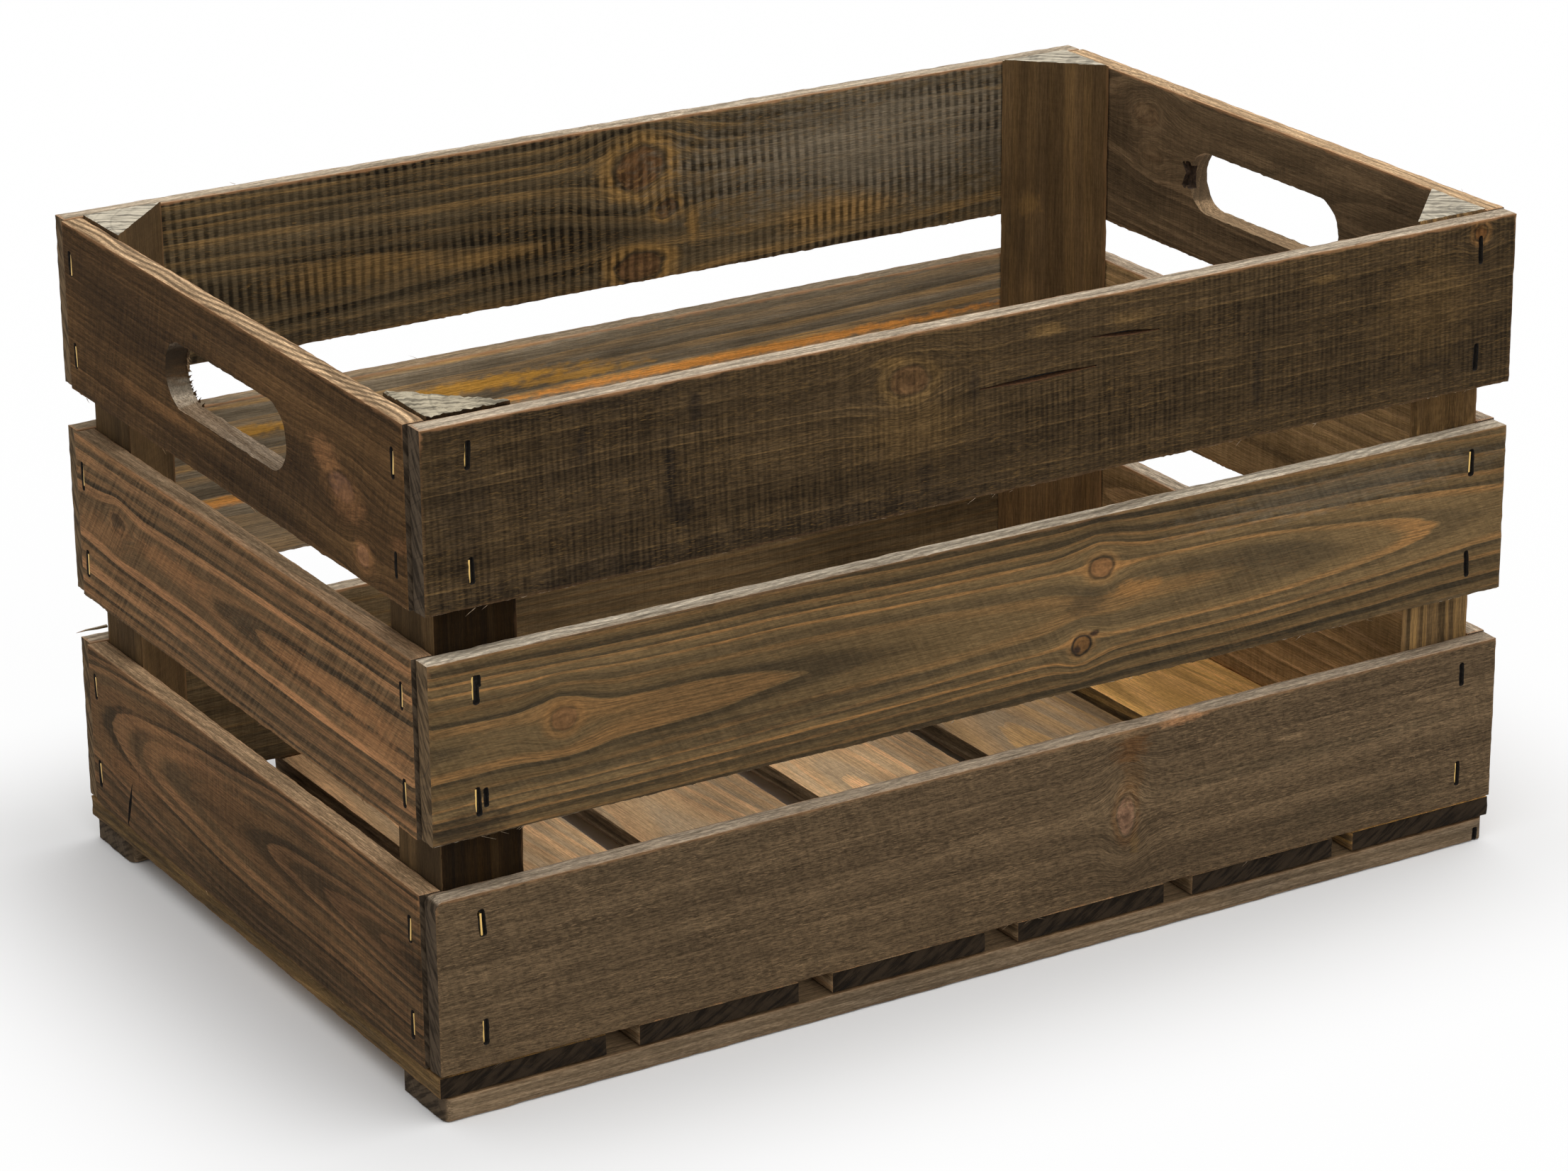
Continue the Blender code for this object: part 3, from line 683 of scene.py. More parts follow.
def pine_rings_group():
    """Year rings round a pith along the log: hard late wood, soaked early wood and slow bands of tone."""
    wires, given = new_group(
        "Pine Rings",
        {"Vector": ["Position"], "Float": RING_VALUES},
        {"Float": ["Late Wood", "Soak", "Tone", "Band"]},
    )
    position = given["Position"]
    u, v, w = wires.split(position)
    seed = given["Seed"]
    slow = wires.minus(wires.noise(position, (0.006, 0.016, 0.016), seed, 1.5), 0.5)
    fine = wires.minus(wires.noise(position, (0.02, 0.3, 0.3), seed, 3.0), 0.5)
    across = wires.minus(v, given["Pith Across"])
    across = wires.minus(across, wires.times(u, given["Drift Across"]))
    deep = wires.plus(w, given["Pith Depth"])
    deep = wires.plus(deep, wires.times(u, given["Drift Depth"]))
    out = wires.vector("LENGTH", wires.join(across, deep, 0.0))
    out = wires.plus(out, wires.times(slow, wires.times(given["Wander"], 4.0)))
    out = wires.plus(out, wires.times(fine, 0.7))
    uneven = wires.noise(wires.join(out, 0.0, 0.0), (0.11, 1.0, 1.0), seed)
    turn = wires.plus(wires.over(out, given["Ring Width"]), wires.times(uneven, 2.0))
    turn = wires.plus(turn, given["Phase"])
    part = wires.math("FRACT", turn)
    tone = wires.node("ShaderNodeTexWhiteNoise", noise_dimensions="1D")
    wires.feed(tone.inputs["W"], wires.plus(wires.math("FLOOR", turn), seed))
    tone = tone.outputs["Value"]
    start = wires.minus(1.0, given["Late Share"])
    full = wires.minus(1.0, wires.times(given["Late Share"], given["Crisp"]))
    late = wires.times(wires.ramp(part, start, full), wires.ramp(part, 0.94, 1.0, 1.0, 0.0))
    late = wires.times(late, wires.ramp(tone, 0.0, 1.0, 0.4, 1.0))
    core = wires.times(given["Soak Share"], given["Crisp"])
    soak = wires.ramp(part, core, given["Soak Share"], 1.0, 0.0)
    soak = wires.times(soak, wires.ramp(tone, 0.0, 1.0, 1.0, 0.5))
    fade = wires.noise(position, (0.012, 0.05, 0.05), wires.plus(seed, 6.0), 2.0)
    late = wires.times(late, wires.ramp(fade, 0.35, 0.65, 0.5, 1.0))
    soak = wires.times(soak, wires.ramp(fade, 0.35, 0.65, 1.0, 0.65))
    band = wires.noise(wires.join(out, u, 0.0), (0.07, 0.004, 1.0), seed, 2.0)
    return close_group(
        wires,
        {"Late Wood": late, "Soak": soak, "Tone": tone, "Band": wires.ramp(band, 0.35, 0.65)},
    )


def saw_marks_group():
    """Grooves that the band saw left across the grain, in patches, from 0 on a ridge to 1 in a groove."""
    wires, given = new_group(
        "Saw Marks",
        {"Vector": ["Position"], "Float": ["Saw Pitch", "Saw Lean", "Saw Beat", "Seed"]},
        {"Float": ["Groove"]},
    )
    position = given["Position"]
    seed = given["Seed"]
    u, v, w = wires.split(position)
    leaning = wires.plus(u, wires.times(v, given["Saw Lean"]))
    strokes = wires.join(wires.over(leaning, given["Saw Pitch"]), v, w)
    broad = wires.noise(strokes, (0.85, 0.04, 0.04), seed, 1.0)
    fine = wires.noise(strokes, (2.1, 0.11, 0.11), seed, 1.0)
    mixed = wires.plus(wires.times(broad, 0.6), wires.times(fine, 0.4))
    sway = wires.noise(position, (0.02, 0.02, 0.02), seed, 2.0)
    stroke = wires.plus(wires.over(leaning, given["Saw Pitch"]), sway)
    even = wires.math("MULTIPLY_ADD", wires.math("PINGPONG", stroke, 0.5), 1.2, 0.2)
    gap = wires.times(wires.minus(even, mixed), given["Saw Beat"])
    mixed = wires.plus(mixed, gap)
    patch = wires.noise(position, (0.014, 0.03, 0.03), wires.plus(seed, 4.0), 2.0)
    patch = wires.ramp(patch, 0.36, 0.64, 0.5, 1.0)
    return close_group(wires, {"Groove": wires.times(wires.ramp(mixed, 0.36, 0.62, 1.0, 0.0), patch)})


def wood_fibre_group():
    """Fine streaks along the grain, the speckled nap of a sawn face, and clusters of pale torn fibres."""
    wires, given = new_group(
        "Wood Fibre",
        {"Vector": ["Position"], "Float": ["Seed"]},
        {"Float": ["Streak", "Nap", "Fuzz"]},
    )
    position = given["Position"]
    seed = given["Seed"]
    streak = wires.noise(position, (0.05, 1.5, 1.5), seed, 3.0, 0.65)
    nap = wires.noise(position, (0.36, 1.9, 1.9), seed, 3.0, 0.65)
    fuzz = wires.noise(position, (0.26, 2.0, 2.0), wires.plus(seed, 9.0), 2.0, 0.6)
    cluster = wires.noise(position, (0.03, 0.07, 0.07), wires.plus(seed, 2.0), 2.0)
    fuzz = wires.times(wires.ramp(fuzz, 0.55, 0.68), wires.ramp(cluster, 0.38, 0.62, 0.25, 1.0))
    return close_group(
        wires,
        {"Streak": wires.ramp(streak, 0.25, 0.75), "Nap": wires.ramp(nap, 0.25, 0.75), "Fuzz": fuzz},
    )


def board_edges_group():
    """Masks for the narrow edges, the ends and the worn arrises of a board. The arrises are laid strongest
    along the upper edge, partly wear and partly painted highlight.
    """
    wires, given = new_group(
        "Board Edges",
        {"Vector": ["Position", "Normal", "Half Size"], "Float": ["Wear", "Seed"]},
        {"Float": ["Narrow", "End", "Arris", "End Saw", "Edge Ring"]},
    )
    position = given["Position"]
    across_end, across_edge, _ = wires.split(wires.vector("ABSOLUTE", given["Normal"]))
    span, rise, _ = wires.split(wires.vector("DIVIDE", position, given["Half Size"]))
    brink = wires.math("ABSOLUTE", rise)
    far = wires.ramp(wires.math("ABSOLUTE", span), 0.85, 0.95)
    room = wires.vector("SUBTRACT", given["Half Size"], wires.vector("ABSOLUTE", position))
    a, b, c = wires.split(room)
    least = wires.math("MINIMUM", a, b)
    most = wires.math("MAXIMUM", a, b)
    arris = wires.math("MAXIMUM", least, wires.math("MINIMUM", most, c))
    ragged = wires.noise(position, (0.12, 0.6, 0.6), given["Seed"], 3.0)
    reach = wires.times(given["Wear"], wires.times(ragged, 2.2))
    worn = wires.minus(1.0, wires.ramp(wires.over(arris, reach), 0.3, 1.0))
    u, v, w = wires.split(position)
    bend = wires.noise(wires.join(u, 0.0, 0.0), (0.016, 1.0, 1.0), given["Seed"], 1.0)
    ring = wires.plus(wires.over(w, 3.6), wires.over(u, 30.0))
    ring = wires.plus(ring, wires.times(bend, 9.0))
    ring = wires.ramp(wires.math("PINGPONG", ring, 0.5), 0.1, 0.36, 1.0, 0.0)
    ring = wires.times(ring, wires.ramp(brink, 0.85, 0.95))
    rising = wires.math("MULTIPLY_ADD", w, -0.6, v)
    strokes = wires.join(0.0, rising, wires.math("MULTIPLY_ADD", v, 0.6, w))
    end_saw = wires.ramp(wires.noise(strokes, (0.0, 0.06, 0.42), given["Seed"], 3.0, 0.6), 0.3, 0.66)
    end_saw = wires.math("MULTIPLY_ADD", wires.minus(end_saw, 0.6), far, 0.6)
    narrow = wires.times(wires.ramp(across_edge, 0.55, 0.8), wires.ramp(brink, 0.85, 0.95, 0.4, 1.0))
    end = wires.times(wires.ramp(across_end, 0.55, 0.8), wires.math("MULTIPLY_ADD", far, 0.6, 0.4))
    return close_group(
        wires,
        {
            "End Saw": end_saw,
            "Edge Ring": ring,
            "Narrow": narrow,
            "End": end,
            # Full on the upper arrises and faint on the others: wear, with a painted highlight where light
            # catches the top edges.
            "Arris": wires.times(worn, wires.ramp(rise, 0.7, 0.97, 0.15, 1.0)),
        },
    )


def soft_patch_group():
    """A ragged soft-edged patch: 1 inside, 0 well outside."""
    wires, given = new_group(
        "Soft Patch",
        {"Vector": ["Position"], "Float": ["Along", "Across", "Half Length", "Half Height"]},
        {"Float": ["Patch"]},
    )
    position = given["Position"]
    centre = wires.join(given["Along"], given["Across"], 0.0)
    u, v, _ = wires.split(wires.vector("SUBTRACT", position, centre))
    flat = wires.join(wires.over(u, given["Half Length"]), wires.over(v, given["Half Height"]), 0.0)
    ragged = wires.minus(wires.noise(position, (0.2, 0.5, 0.1), 3.0, 3.0), 0.5)
    away = wires.plus(wires.vector("LENGTH", flat), wires.times(ragged, 1.6))
    return close_group(wires, {"Patch": wires.ramp(away, 0.35, 1.15, 1.0, 0.0)})


# About how far the worn wood, with its painted highlight along the upper arrises, reaches in from an arris,
# in millimetres.
ARRIS_BAND_WIDTH = 1.6


def stained_pine_group(groups):
    """Stained pine: rings, fibre, saw marks, clouds of stain, pale edges and dark ends."""
    wires, given = new_group(
        "Stained Pine",
        {
            "Vector": ["Position", "Board Position", "Normal", "Half Size"],
            "Color": STAIN_COLOURS,
            "Float": RING_VALUES + STAIN_VALUES + ["Cover"],
        },
        {"Color": ["Colour"], "Float": ["Roughness", "Height"]},
    )
    position = given["Position"]
    seed = given["Seed"]
    times = wires.times
    rings = wires.place(groups["rings"], {name: given[name] for name in ["Position"] + RING_VALUES})
    fibre = wires.place(groups["fibre"], {"Position": position, "Seed": seed})
    board = given["Board Position"]
    sawing = {name: given[name] for name in ("Saw Pitch", "Saw Lean", "Saw Beat", "Seed")}
    saw = wires.place(groups["saw"], {"Position": board, **sawing})
    shape = {name: given[name] for name in ("Normal", "Half Size", "Seed")}
    edges = wires.place(groups["edges"], {"Position": board, "Wear": ARRIS_BAND_WIDTH, **shape})
    flat = wires.minus(1.0, wires.math("MAXIMUM", edges["Narrow"], edges["End"]))
    late = times(rings["Late Wood"], given["Late"])
    late = times(late, wires.ramp(fibre["Streak"], 0.0, 0.8, 0.5, 1.0))
    soaked = times(rings["Soak"], given["Soak"])
    wood = wires.blend(soaked, given["Early Colour"], given["Soak Colour"])
    wood = wires.blend(late, wood, given["Late Colour"])
    cloud = wires.ramp(wires.noise(position, (0.012, 0.04, 0.04), seed, 4.0), 0.42, 0.68)
    wood = wires.blend(times(cloud, given["Cloud"]), wood, given["Cloud Colour"])
    bare = wires.scale(wood, wires.minus(1.0, given["Cover"]))
    wood = wires.vector("ADD", bare, given["Paint"])
    softer = wires.plus(wires.ramp(late, 0.0, 0.8, 0.7, 0.3), times(soaked, 0.5))
    groove = times(times(saw["Groove"], given["Saw"]), times(flat, softer))
    nap = times(wires.minus(fibre["Nap"], 0.5), given["Nap"])
    streaked = wires.ramp(fibre["Streak"], 0.0, 1.0, 0.78, 1.22)
    shade = times(wires.ramp(rings["Tone"], 0.0, 1.0, 0.9, 1.1), streaked)
    sway = times(wires.minus(rings["Band"], 0.5), given["Band"])
    shade = times(shade, wires.plus(1.0, sway))
    shade = times(shade, wires.minus(1.0, times(groove, 0.75)))
    shade = times(shade, wires.plus(1.0, nap))
    wood = wires.scale(wood, shade)
    fuzz = times(fibre["Fuzz"], given["Fuzz"])
    wood = wires.blend(times(fuzz, flat), wood, given["Late Colour"])
    patchy = wires.ramp(wires.noise(board, (0.03, 0.25, 0.25), seed, 3.0), 0.3, 0.7, 0.72, 1.0)
    raw = wires.scale(given["Edge"], wires.ramp(fibre["Streak"], 0.0, 1.0, 0.58, 1.3))
    raw = wires.blend(times(rings["Soak"], 0.5), raw, given["Early Colour"])
    raw = wires.scale(raw, wires.ramp(fibre["Nap"], 0.0, 1.0, 0.66, 1.28))
    ringed = times(edges["Edge Ring"], given["Edge Rings"])
    ringed = times(ringed, wires.ramp(fibre["Streak"], 0.0, 1.0, 0.4, 0.8))
    raw = wires.scale(raw, wires.minus(1.0, ringed))
    wood = wires.blend(times(times(edges["Narrow"], given["Edge Share"]), patchy), wood, raw)
    # Worn arrises, with a painted highlight on the upper ones.
    wood = wires.blend(times(edges["Arris"], given["Wear"]), wood, given["Arris"])
    ends = wires.scale(given["End"], wires.ramp(rings["Late Wood"], 0.0, 1.0, 1.15, 0.8))
    ends = wires.scale(ends, wires.ramp(edges["End Saw"], 0.0, 1.0, 0.45, 1.4))
    wood = wires.blend(edges["End"], wood, ends)
    relief = wires.plus(times(fibre["Streak"], 0.25), times(rings["Late Wood"], 0.12))
    relief = wires.minus(relief, times(groove, 0.7))
    relief = wires.plus(relief, times(nap, 0.6))
    relief = wires.plus(relief, times(fuzz, 0.8))
    relief = wires.plus(relief, times(times(edges["End"], edges["End Saw"]), 1.2))
    rough = wires.ramp(late, 0.0, 0.8, 0.93, 0.72)
    return close_group(wires, {"Colour": wood, "Roughness": rough, "Height": relief})


def wood_groups():
    """The shader groups that every board's material is built from, made once."""
    names = {
        "knot": ("Knot Flow", knot_flow_group),
        "rings": ("Pine Rings", pine_rings_group),
        "saw": ("Saw Marks", saw_marks_group),
        "fibre": ("Wood Fibre", wood_fibre_group),
        "edges": ("Board Edges", board_edges_group),
        "patch": ("Soft Patch", soft_patch_group),
    }
    groups = {}
    for key, (name, make) in names.items():
        groups[key] = bpy.data.node_groups.get(name) or make()
    groups["pine"] = bpy.data.node_groups.get("Stained Pine") or stained_pine_group(groups)
    return groups


def new_material(name):
    material = bpy.data.materials.new(name)
    material.use_nodes = True
    material.node_tree.nodes.clear()
    wires = Wiring(material.node_tree)
    shader = wires.node("ShaderNodeBsdfPrincipled")
    end = wires.node("ShaderNodeOutputMaterial")
    wires.feed(end.inputs["Surface"], shader.outputs["BSDF"])
    return material, wires, shader


# How far apart the patterns of boards with different seeds start.
SEED_STEP = 7.31
WOOD_SHINE = 0.08
# Strength and distance of a surface's fine relief.
WOOD_BUMP = (0.55, 0.0006)
SPECK_BUMP = (0.4, 0.0001)
# A speck's colour against the colour round it, in red, green and blue, and how much duller it is.
SPECK_SHADE = (0.45, 0.42, 0.4)
SPECK_DULL = 0.25


class Overlay:
    """Colours laid one over another, as one paint and how far it covers the wood under it."""

    def __init__(self, wires):
        self.wires = wires
        self.paint = (0.0, 0.0, 0.0, 1.0)
        self.cover = 0.0

    def lay(self, mask, share, colour):
        strength = self.wires.times(mask, share)
        left = self.wires.minus(1.0, strength)
        self.paint = self.wires.blend(strength, self.paint, colour)
        self.cover = self.wires.math("MULTIPLY_ADD", self.cover, left, strength)


def in_millimetres(wires):
    """A mapping node that gives the object's own coordinates in millimetres."""
    made = wires.node("ShaderNodeMapping", vector_type="POINT")
    wires.feed(made.inputs["Vector"], wires.node("ShaderNodeTexCoord").outputs["Object"])
    made.inputs["Scale"].default_value = (1 / MM, 1 / MM, 1 / MM)
    return made


def raise_surface(wires, shader, height, strength, distance):
    bump = wires.node("ShaderNodeBump")
    wires.fill_named(bump, {"Strength": strength, "Distance": distance, "Height": height})
    wires.feed(shader.inputs["Normal"], bump.outputs["Normal"])


def pine_material(name, finish, low, high, axes, seed):
    """The material of one board, with its pattern laid on the board's own axes in millimetres."""
    groups = wood_groups()
    material, wires, shader = new_material(name)
    turn = TURNS[axes]
    half = tuple(abs(part) / 2 / MM for part in turn @ (high - low))
    place = in_millimetres(wires)
    place.inputs["Rotation"].default_value = turn.to_euler()
    place.inputs["Location"].default_value = -(turn @ ((low + high) / 2)) / MM
    facing = wires.node("ShaderNodeMapping", vector_type="VECTOR")
    wires.feed(facing.inputs["Vector"], wires.node("ShaderNodeNewGeometry").outputs["Normal"])
    facing.inputs["Rotation"].default_value = turn.to_euler()
    position = place.outputs[0]
    flowed = position
    overlay = Overlay(wires)
    for knot in finish.knots:
        values = {"Position": flowed, "Along": knot.along, "Across": knot.across}
        found = wires.place(groups["knot"], {**values, "Reach": knot.reach, "Stretch": knot.stretch})
        flowed = found["Position"]
        heart = wires.scale(rgba(knot.heart)[:3], wires.ramp(found["Rings"], 0.0, 0.8, 0.9, 1.08))
        overlay.lay(found["Halo"], knot.glow, toned(knot.halo, finish.gain))
        overlay.lay(found["Heart"], knot.share, heart)
        overlay.lay(found["Rim"], knot.rim, rgba("deep_stain_and_shade"))
    for mark in finish.marks:
        values = {"Position": position, "Along": mark.along, "Across": mark.across}
        values.update({"Half Length": mark.half_length, "Half Height": mark.half_height})
        found = wires.place(groups["patch"], values)
        overlay.lay(found["Patch"], mark.share, toned(mark.colour, finish.gain))
    grain = finish.grain
    sawing = finish.sawing
    ring_values = (*grain.pith, *grain.drift, grain.ring, grain.phase, grain.wander, grain.late_share)
    ring_values += (grain.soak_share, grain.crisp, seed * SEED_STEP)
    stain_values = (grain.late, grain.soak, grain.band, sawing.pitch, sawing.depth, sawing.lean, sawing.nap)
    stain_values += (sawing.fuzz, sawing.beat, finish.cloud, finish.edge, finish.edge_rings, finish.wear_and_highlight)
    stains = [toned(stain, finish.gain) for stain in (finish.early, finish.late, finish.soak)]
    stains += map(rgba, ("deep_stain_and_shade", finish.edge_colour, finish.end_colour, "arris_wear_and_highlight"))
    inputs = dict(zip(RING_VALUES + STAIN_VALUES, ring_values + stain_values))
    inputs.update(zip(STAIN_COLOURS, stains + [overlay.paint]))
    inputs.update({"Position": flowed, "Board Position": position, "Normal": facing.outputs[0]})
    inputs.update({"Half Size": half, "Cover": overlay.cover})
    pine = wires.place(groups["pine"], inputs)
    wires.feed(shader.inputs["Base Color"], pine["Colour"])
    wires.feed(shader.inputs["Roughness"], pine["Roughness"])
    shader.inputs["Specular IOR Level"].default_value = WOOD_SHINE
    raise_surface(wires, shader, pine["Height"], *WOOD_BUMP)
    return material


def toned(name, gain):
    red, green, blue = getattr(colours(), name)
    return (red * gain, green * gain, blue * gain, 1.0)


def speckled_material(name, colour, metallic, rough):
    """A small part's finish: one colour, broken by fine specks and dull patches."""
    material = bpy.data.materials.get(name)
    if material:
        return material
    material, wires, shader = new_material(name)
    specks = wires.noise(in_millimetres(wires).outputs[0], (0.7, 0.7, 0.7), 5.0, 3.0)
    base = rgba(colour)
    dark = (*(part * shade for part, shade in zip(base, SPECK_SHADE)), 1.0)
    wires.feed(shader.inputs["Base Color"], wires.blend(wires.ramp(specks, 0.35, 0.62), dark, base))
    dull = min(1.0, rough + SPECK_DULL)
    wires.feed(shader.inputs["Roughness"], wires.ramp(specks, 0.3, 0.7, dull, rough))
    shader.inputs["Metallic"].default_value = metallic
    raise_surface(wires, shader, specks, *SPECK_BUMP)
    return material


# An edge between faces that turn by more than this is sharp, and shading is smooth up to the second.
SHARP = math.radians(30)
SMOOTH = math.radians(40)
# How many times longer the rough patterns are along the grain.
GRAIN_STRETCH = 4.0
# Cells of the patterns that roughen the pieces, in metres.
CHIP_CELL = 0.0022
UNEVEN_CELL = 0.009
FRAY_CELL = 0.0016
RIDGE_CELL = 0.0013
# Points within this distance of a slat's lower edge are frayed, and of a post's top are ridged.
FRAY_BAND = 0.0004
RIDGE_BAND = 0.0006
# Cell and depth of the torn walls of each cutting tool.
SLIT_TEAR = (0.0016, 0.0009)
CRACK_TEAR = (0.0012, 0.0003)
HOLE_TEAR = (0.0035, 0.0012)
# Share of a slit's width that its corners are rounded by, and the cuts along a slit and a split.
SLIT_ROUNDING = 0.4
SLIT_CUTS = 7
CRACK_CUTS = 9
# How the slits differ: lean in degrees, width, length and place against the tool, and drift along it.
SLIT_LEAN = 4
SLIT_WIDER = (0.85, 1.25)
SLIT_LONGER = (0.95, 1.15)
SLIT_OFFSET = (0.4, 1.4)
SLIT_DRIFT = 0.0006
# How many times deeper a split is than a slit.
CRACK_DEPTH = 1.7
# Roughness of crushed and of torn wood, and of the wire.
SLIT_ROUGH = 0.75
TORN_ROUGH = 0.85
WIRE_ROUGH = 0.32


def pick(piece):
    """Makes a piece the only selected and active object."""
    bpy.ops.object.select_all(action="DESELECT")
    piece.select_set(True)
    bpy.context.view_layer.objects.active = piece


def add_block(name, low, high):
    bpy.ops.object.select_all(action="DESELECT")
    bpy.ops.mesh.primitive_cube_add(size=1.0, location=(low + high) / 2)
    block = bpy.context.object
    block.name = name
    block.data.name = name
    block.scale = high - low
    bpy.ops.object.transform_apply(location=True, rotation=False, scale=True)
    return block


def pick_edges(test):
    """In edit mode, selects the edges that pass a test."""
    bpy.ops.mesh.select_mode(type="EDGE")
    bpy.ops.mesh.select_all(action="DESELECT")
    mesh = bmesh.from_edit_mesh(bpy.context.object.data)
    for edge in mesh.edges:
        edge.select_set(test(edge))
    bmesh.update_edit_mesh(bpy.context.object.data)


def pick_points(test):
    """In edit mode, selects the points that pass a test."""
    bpy.ops.mesh.select_mode(type="VERT")
    bpy.ops.mesh.select_all(action="DESELECT")
    mesh = bmesh.from_edit_mesh(bpy.context.object.data)
    for point in mesh.verts:
        point.select_set(test(point.co))
    mesh.select_flush_mode()
    bmesh.update_edit_mesh(bpy.context.object.data)


def runs_along(axis):
    def test(edge):
        run = edge.verts[1].co - edge.verts[0].co
        return abs(run[axis]) > 0.99 * run.length

    return test


def cut_cells(axis, cells):
    """In edit mode, cuts every edge along one axis into about that many cells, in two passes."""
    first = max(1, round(math.sqrt(cells)))
    for count in (first, round(cells / first)):
        if count > 1:
            pick_edges(runs_along(axis))
            bpy.ops.mesh.subdivide(number_cuts=count - 1)


def pick_sharp_edges():
    """In edit mode, selects the sharp edges."""
    bpy.ops.mesh.select_mode(type="EDGE")
    bpy.ops.mesh.select_all(action="DESELECT")
    bpy.ops.mesh.edges_select_sharp(sharpness=SHARP)


def break_arrises(width):
    """In edit mode, breaks the sharp edges and keeps their points as the group arris."""
    pick_sharp_edges()
    bpy.ops.mesh.bevel(offset=width, offset_type="OFFSET", segments=2, affect="EDGES")
    bpy.context.object.vertex_groups.new(name="arris")
    bpy.ops.object.vertex_group_assign()


def displace(piece, name, cell, depth, level, stretch=None, group="", direction="NORMAL"):
    """Moves a piece's points in or out by a cloud pattern, and applies it."""
    texture = bpy.data.textures.new(name, "CLOUDS")
    texture.noise_scale = cell
    texture.noise_depth = 2
    modifier = piece.modifiers.new(name, "DISPLACE")
    modifier.texture = texture
    modifier.strength = depth
    modifier.mid_level = level
    modifier.vertex_group = group
    modifier.direction = direction
    modifier.texture_coords = "LOCAL"
    if stretch:
        modifier.texture_coords = "OBJECT"
        modifier.texture_coords_object = stretch
    pick(piece)
    bpy.ops.object.modifier_apply(modifier=name)
    bpy.data.textures.remove(texture)


def grain_ruler(axes):
    """An empty that stretches a pattern along the grain."""
    ruler = bpy.data.objects.new("grain_ruler", None)
    bpy.context.scene.collection.objects.link(ruler)
    ruler.scale[axis_of(axes[0])] = GRAIN_STRETCH
    bpy.context.view_layer.update()
    return ruler


def sawn_piece(name, low, high, axes, cell=None):
    """A board cut fine along the grain, with broken arrises, chips and uneven faces."""
    sized = sizes()
    cell = cell or sized.cell_width
    piece = add_block(name, low, high)
    along, across, deep = map(axis_of, axes)
    bpy.ops.object.mode_set(mode="EDIT")
    cut_cells(across, round((high - low)[across] / cell))
    cut_cells(deep, max(2, round((high - low)[deep] / cell)))
    cut_cells(along, round((high - low)[along] / sized.cell_length))
    break_arrises(sized.arris)
    bpy.ops.object.mode_set(mode="OBJECT")
    ruler = grain_ruler(axes)
    displace(piece, "chips", CHIP_CELL, sized.chip_depth, 1.0, ruler, "arris")
    displace(piece, "uneven", UNEVEN_CELL, sized.uneven, 0.5, ruler)
    bpy.data.objects.remove(ruler)
    return piece


def roughen(piece, name, test, depth, cell, axes=None):
    """Moves the points that pass a test up and down by a cloud pattern. Axes stretch it along the first."""
    group = piece.vertex_groups.new(name=name)
    group.add([point.index for point in piece.data.vertices if test(point.co)], 1.0, "REPLACE")
    ruler = grain_ruler(axes) if axes else None
    displace(piece, name, cell, depth, 0.5, ruler, name, "Z")
    if ruler:
        bpy.data.objects.remove(ruler)


def round_corner(piece, centre, first, second, radius):
    """Rounds off a corner with three flat cuts round a centre line, between two outward directions."""
    pick(piece)
    bpy.ops.object.mode_set(mode="EDIT")
    for share in (0.25, 0.5, 0.75):
        normal = first * math.cos(share * math.pi / 2) + second * math.sin(share * math.pi / 2)
        bpy.ops.mesh.select_all(action="SELECT")
        spot = centre + normal * radius
        bpy.ops.mesh.bisect(plane_co=spot, plane_no=normal, use_fill=True, clear_outer=True)
    bpy.ops.object.mode_set(mode="OBJECT")


def cut_away(piece, cutters):
    """Cuts a set of separate closed tools out of a piece. The cut faces take the tools' own material."""
    pick(cutters[0])
    for cutter in cutters:
        cutter.select_set(True)
    if len(cutters) > 1:
        bpy.ops.object.join()
    tool = bpy.context.object
    pick(piece)
    modifier = piece.modifiers.new("cut", "BOOLEAN")
    modifier.operation = "DIFFERENCE"
    modifier.solver = "EXACT"
    modifier.material_mode = "TRANSFER"
    modifier.object = tool
    bpy.ops.object.modifier_apply(modifier="cut")
    bpy.data.objects.remove(tool)


def copy_at(pattern, name, place):
    """A copy of a pattern piece with its own mesh, put in place in the mesh."""
    made = pattern.copy()
    made.data = pattern.data.copy()
    made.name = name
    made.data.name = name
    made.data.transform(place)
    bpy.context.scene.collection.objects.link(made)
    return made


def finish_piece(piece, material, nodes):
    """Smooths a finished piece, gives it its material and sets it on the frame."""
    pick(piece)
    bpy.ops.object.shade_smooth_by_angle(angle=SMOOTH)
    if len(piece.data.materials):
        piece.data.materials[0] = material
    else:
        piece.data.materials.append(material)
    piece.vertex_groups.clear()
    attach(piece, BODY)
    if nodes:
        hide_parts(*nodes)


def half_slit():
    """Half the size of a slit's tool along each axis."""
    sized = sizes()
    return Vector((sized.slit_width, sized.slit_depth * 2, sized.slit_length)) / 2


def slit_tool():
    """The ragged slit that a staple's crown has pressed into a slat, for the front wall, at the origin."""
    half = half_slit()
    tool = add_block("slit_tool", -half, half)
    bpy.ops.object.mode_set(mode="EDIT")
    pick_edges(runs_along(1))
    bpy.ops.mesh.bevel(offset=sizes().slit_width * SLIT_ROUNDING, segments=2, affect="EDGES")
    pick_edges(runs_along(2))
    bpy.ops.mesh.subdivide(number_cuts=SLIT_CUTS)
    bpy.ops.object.mode_set(mode="OBJECT")
    displace(tool, "ragged", *SLIT_TEAR, 0.5)
    # The walls of the slit take painted shade.
    tool.data.materials.append(speckled_material("slit_shade", "slit_shade", 0.0, SLIT_ROUGH))
    return tool


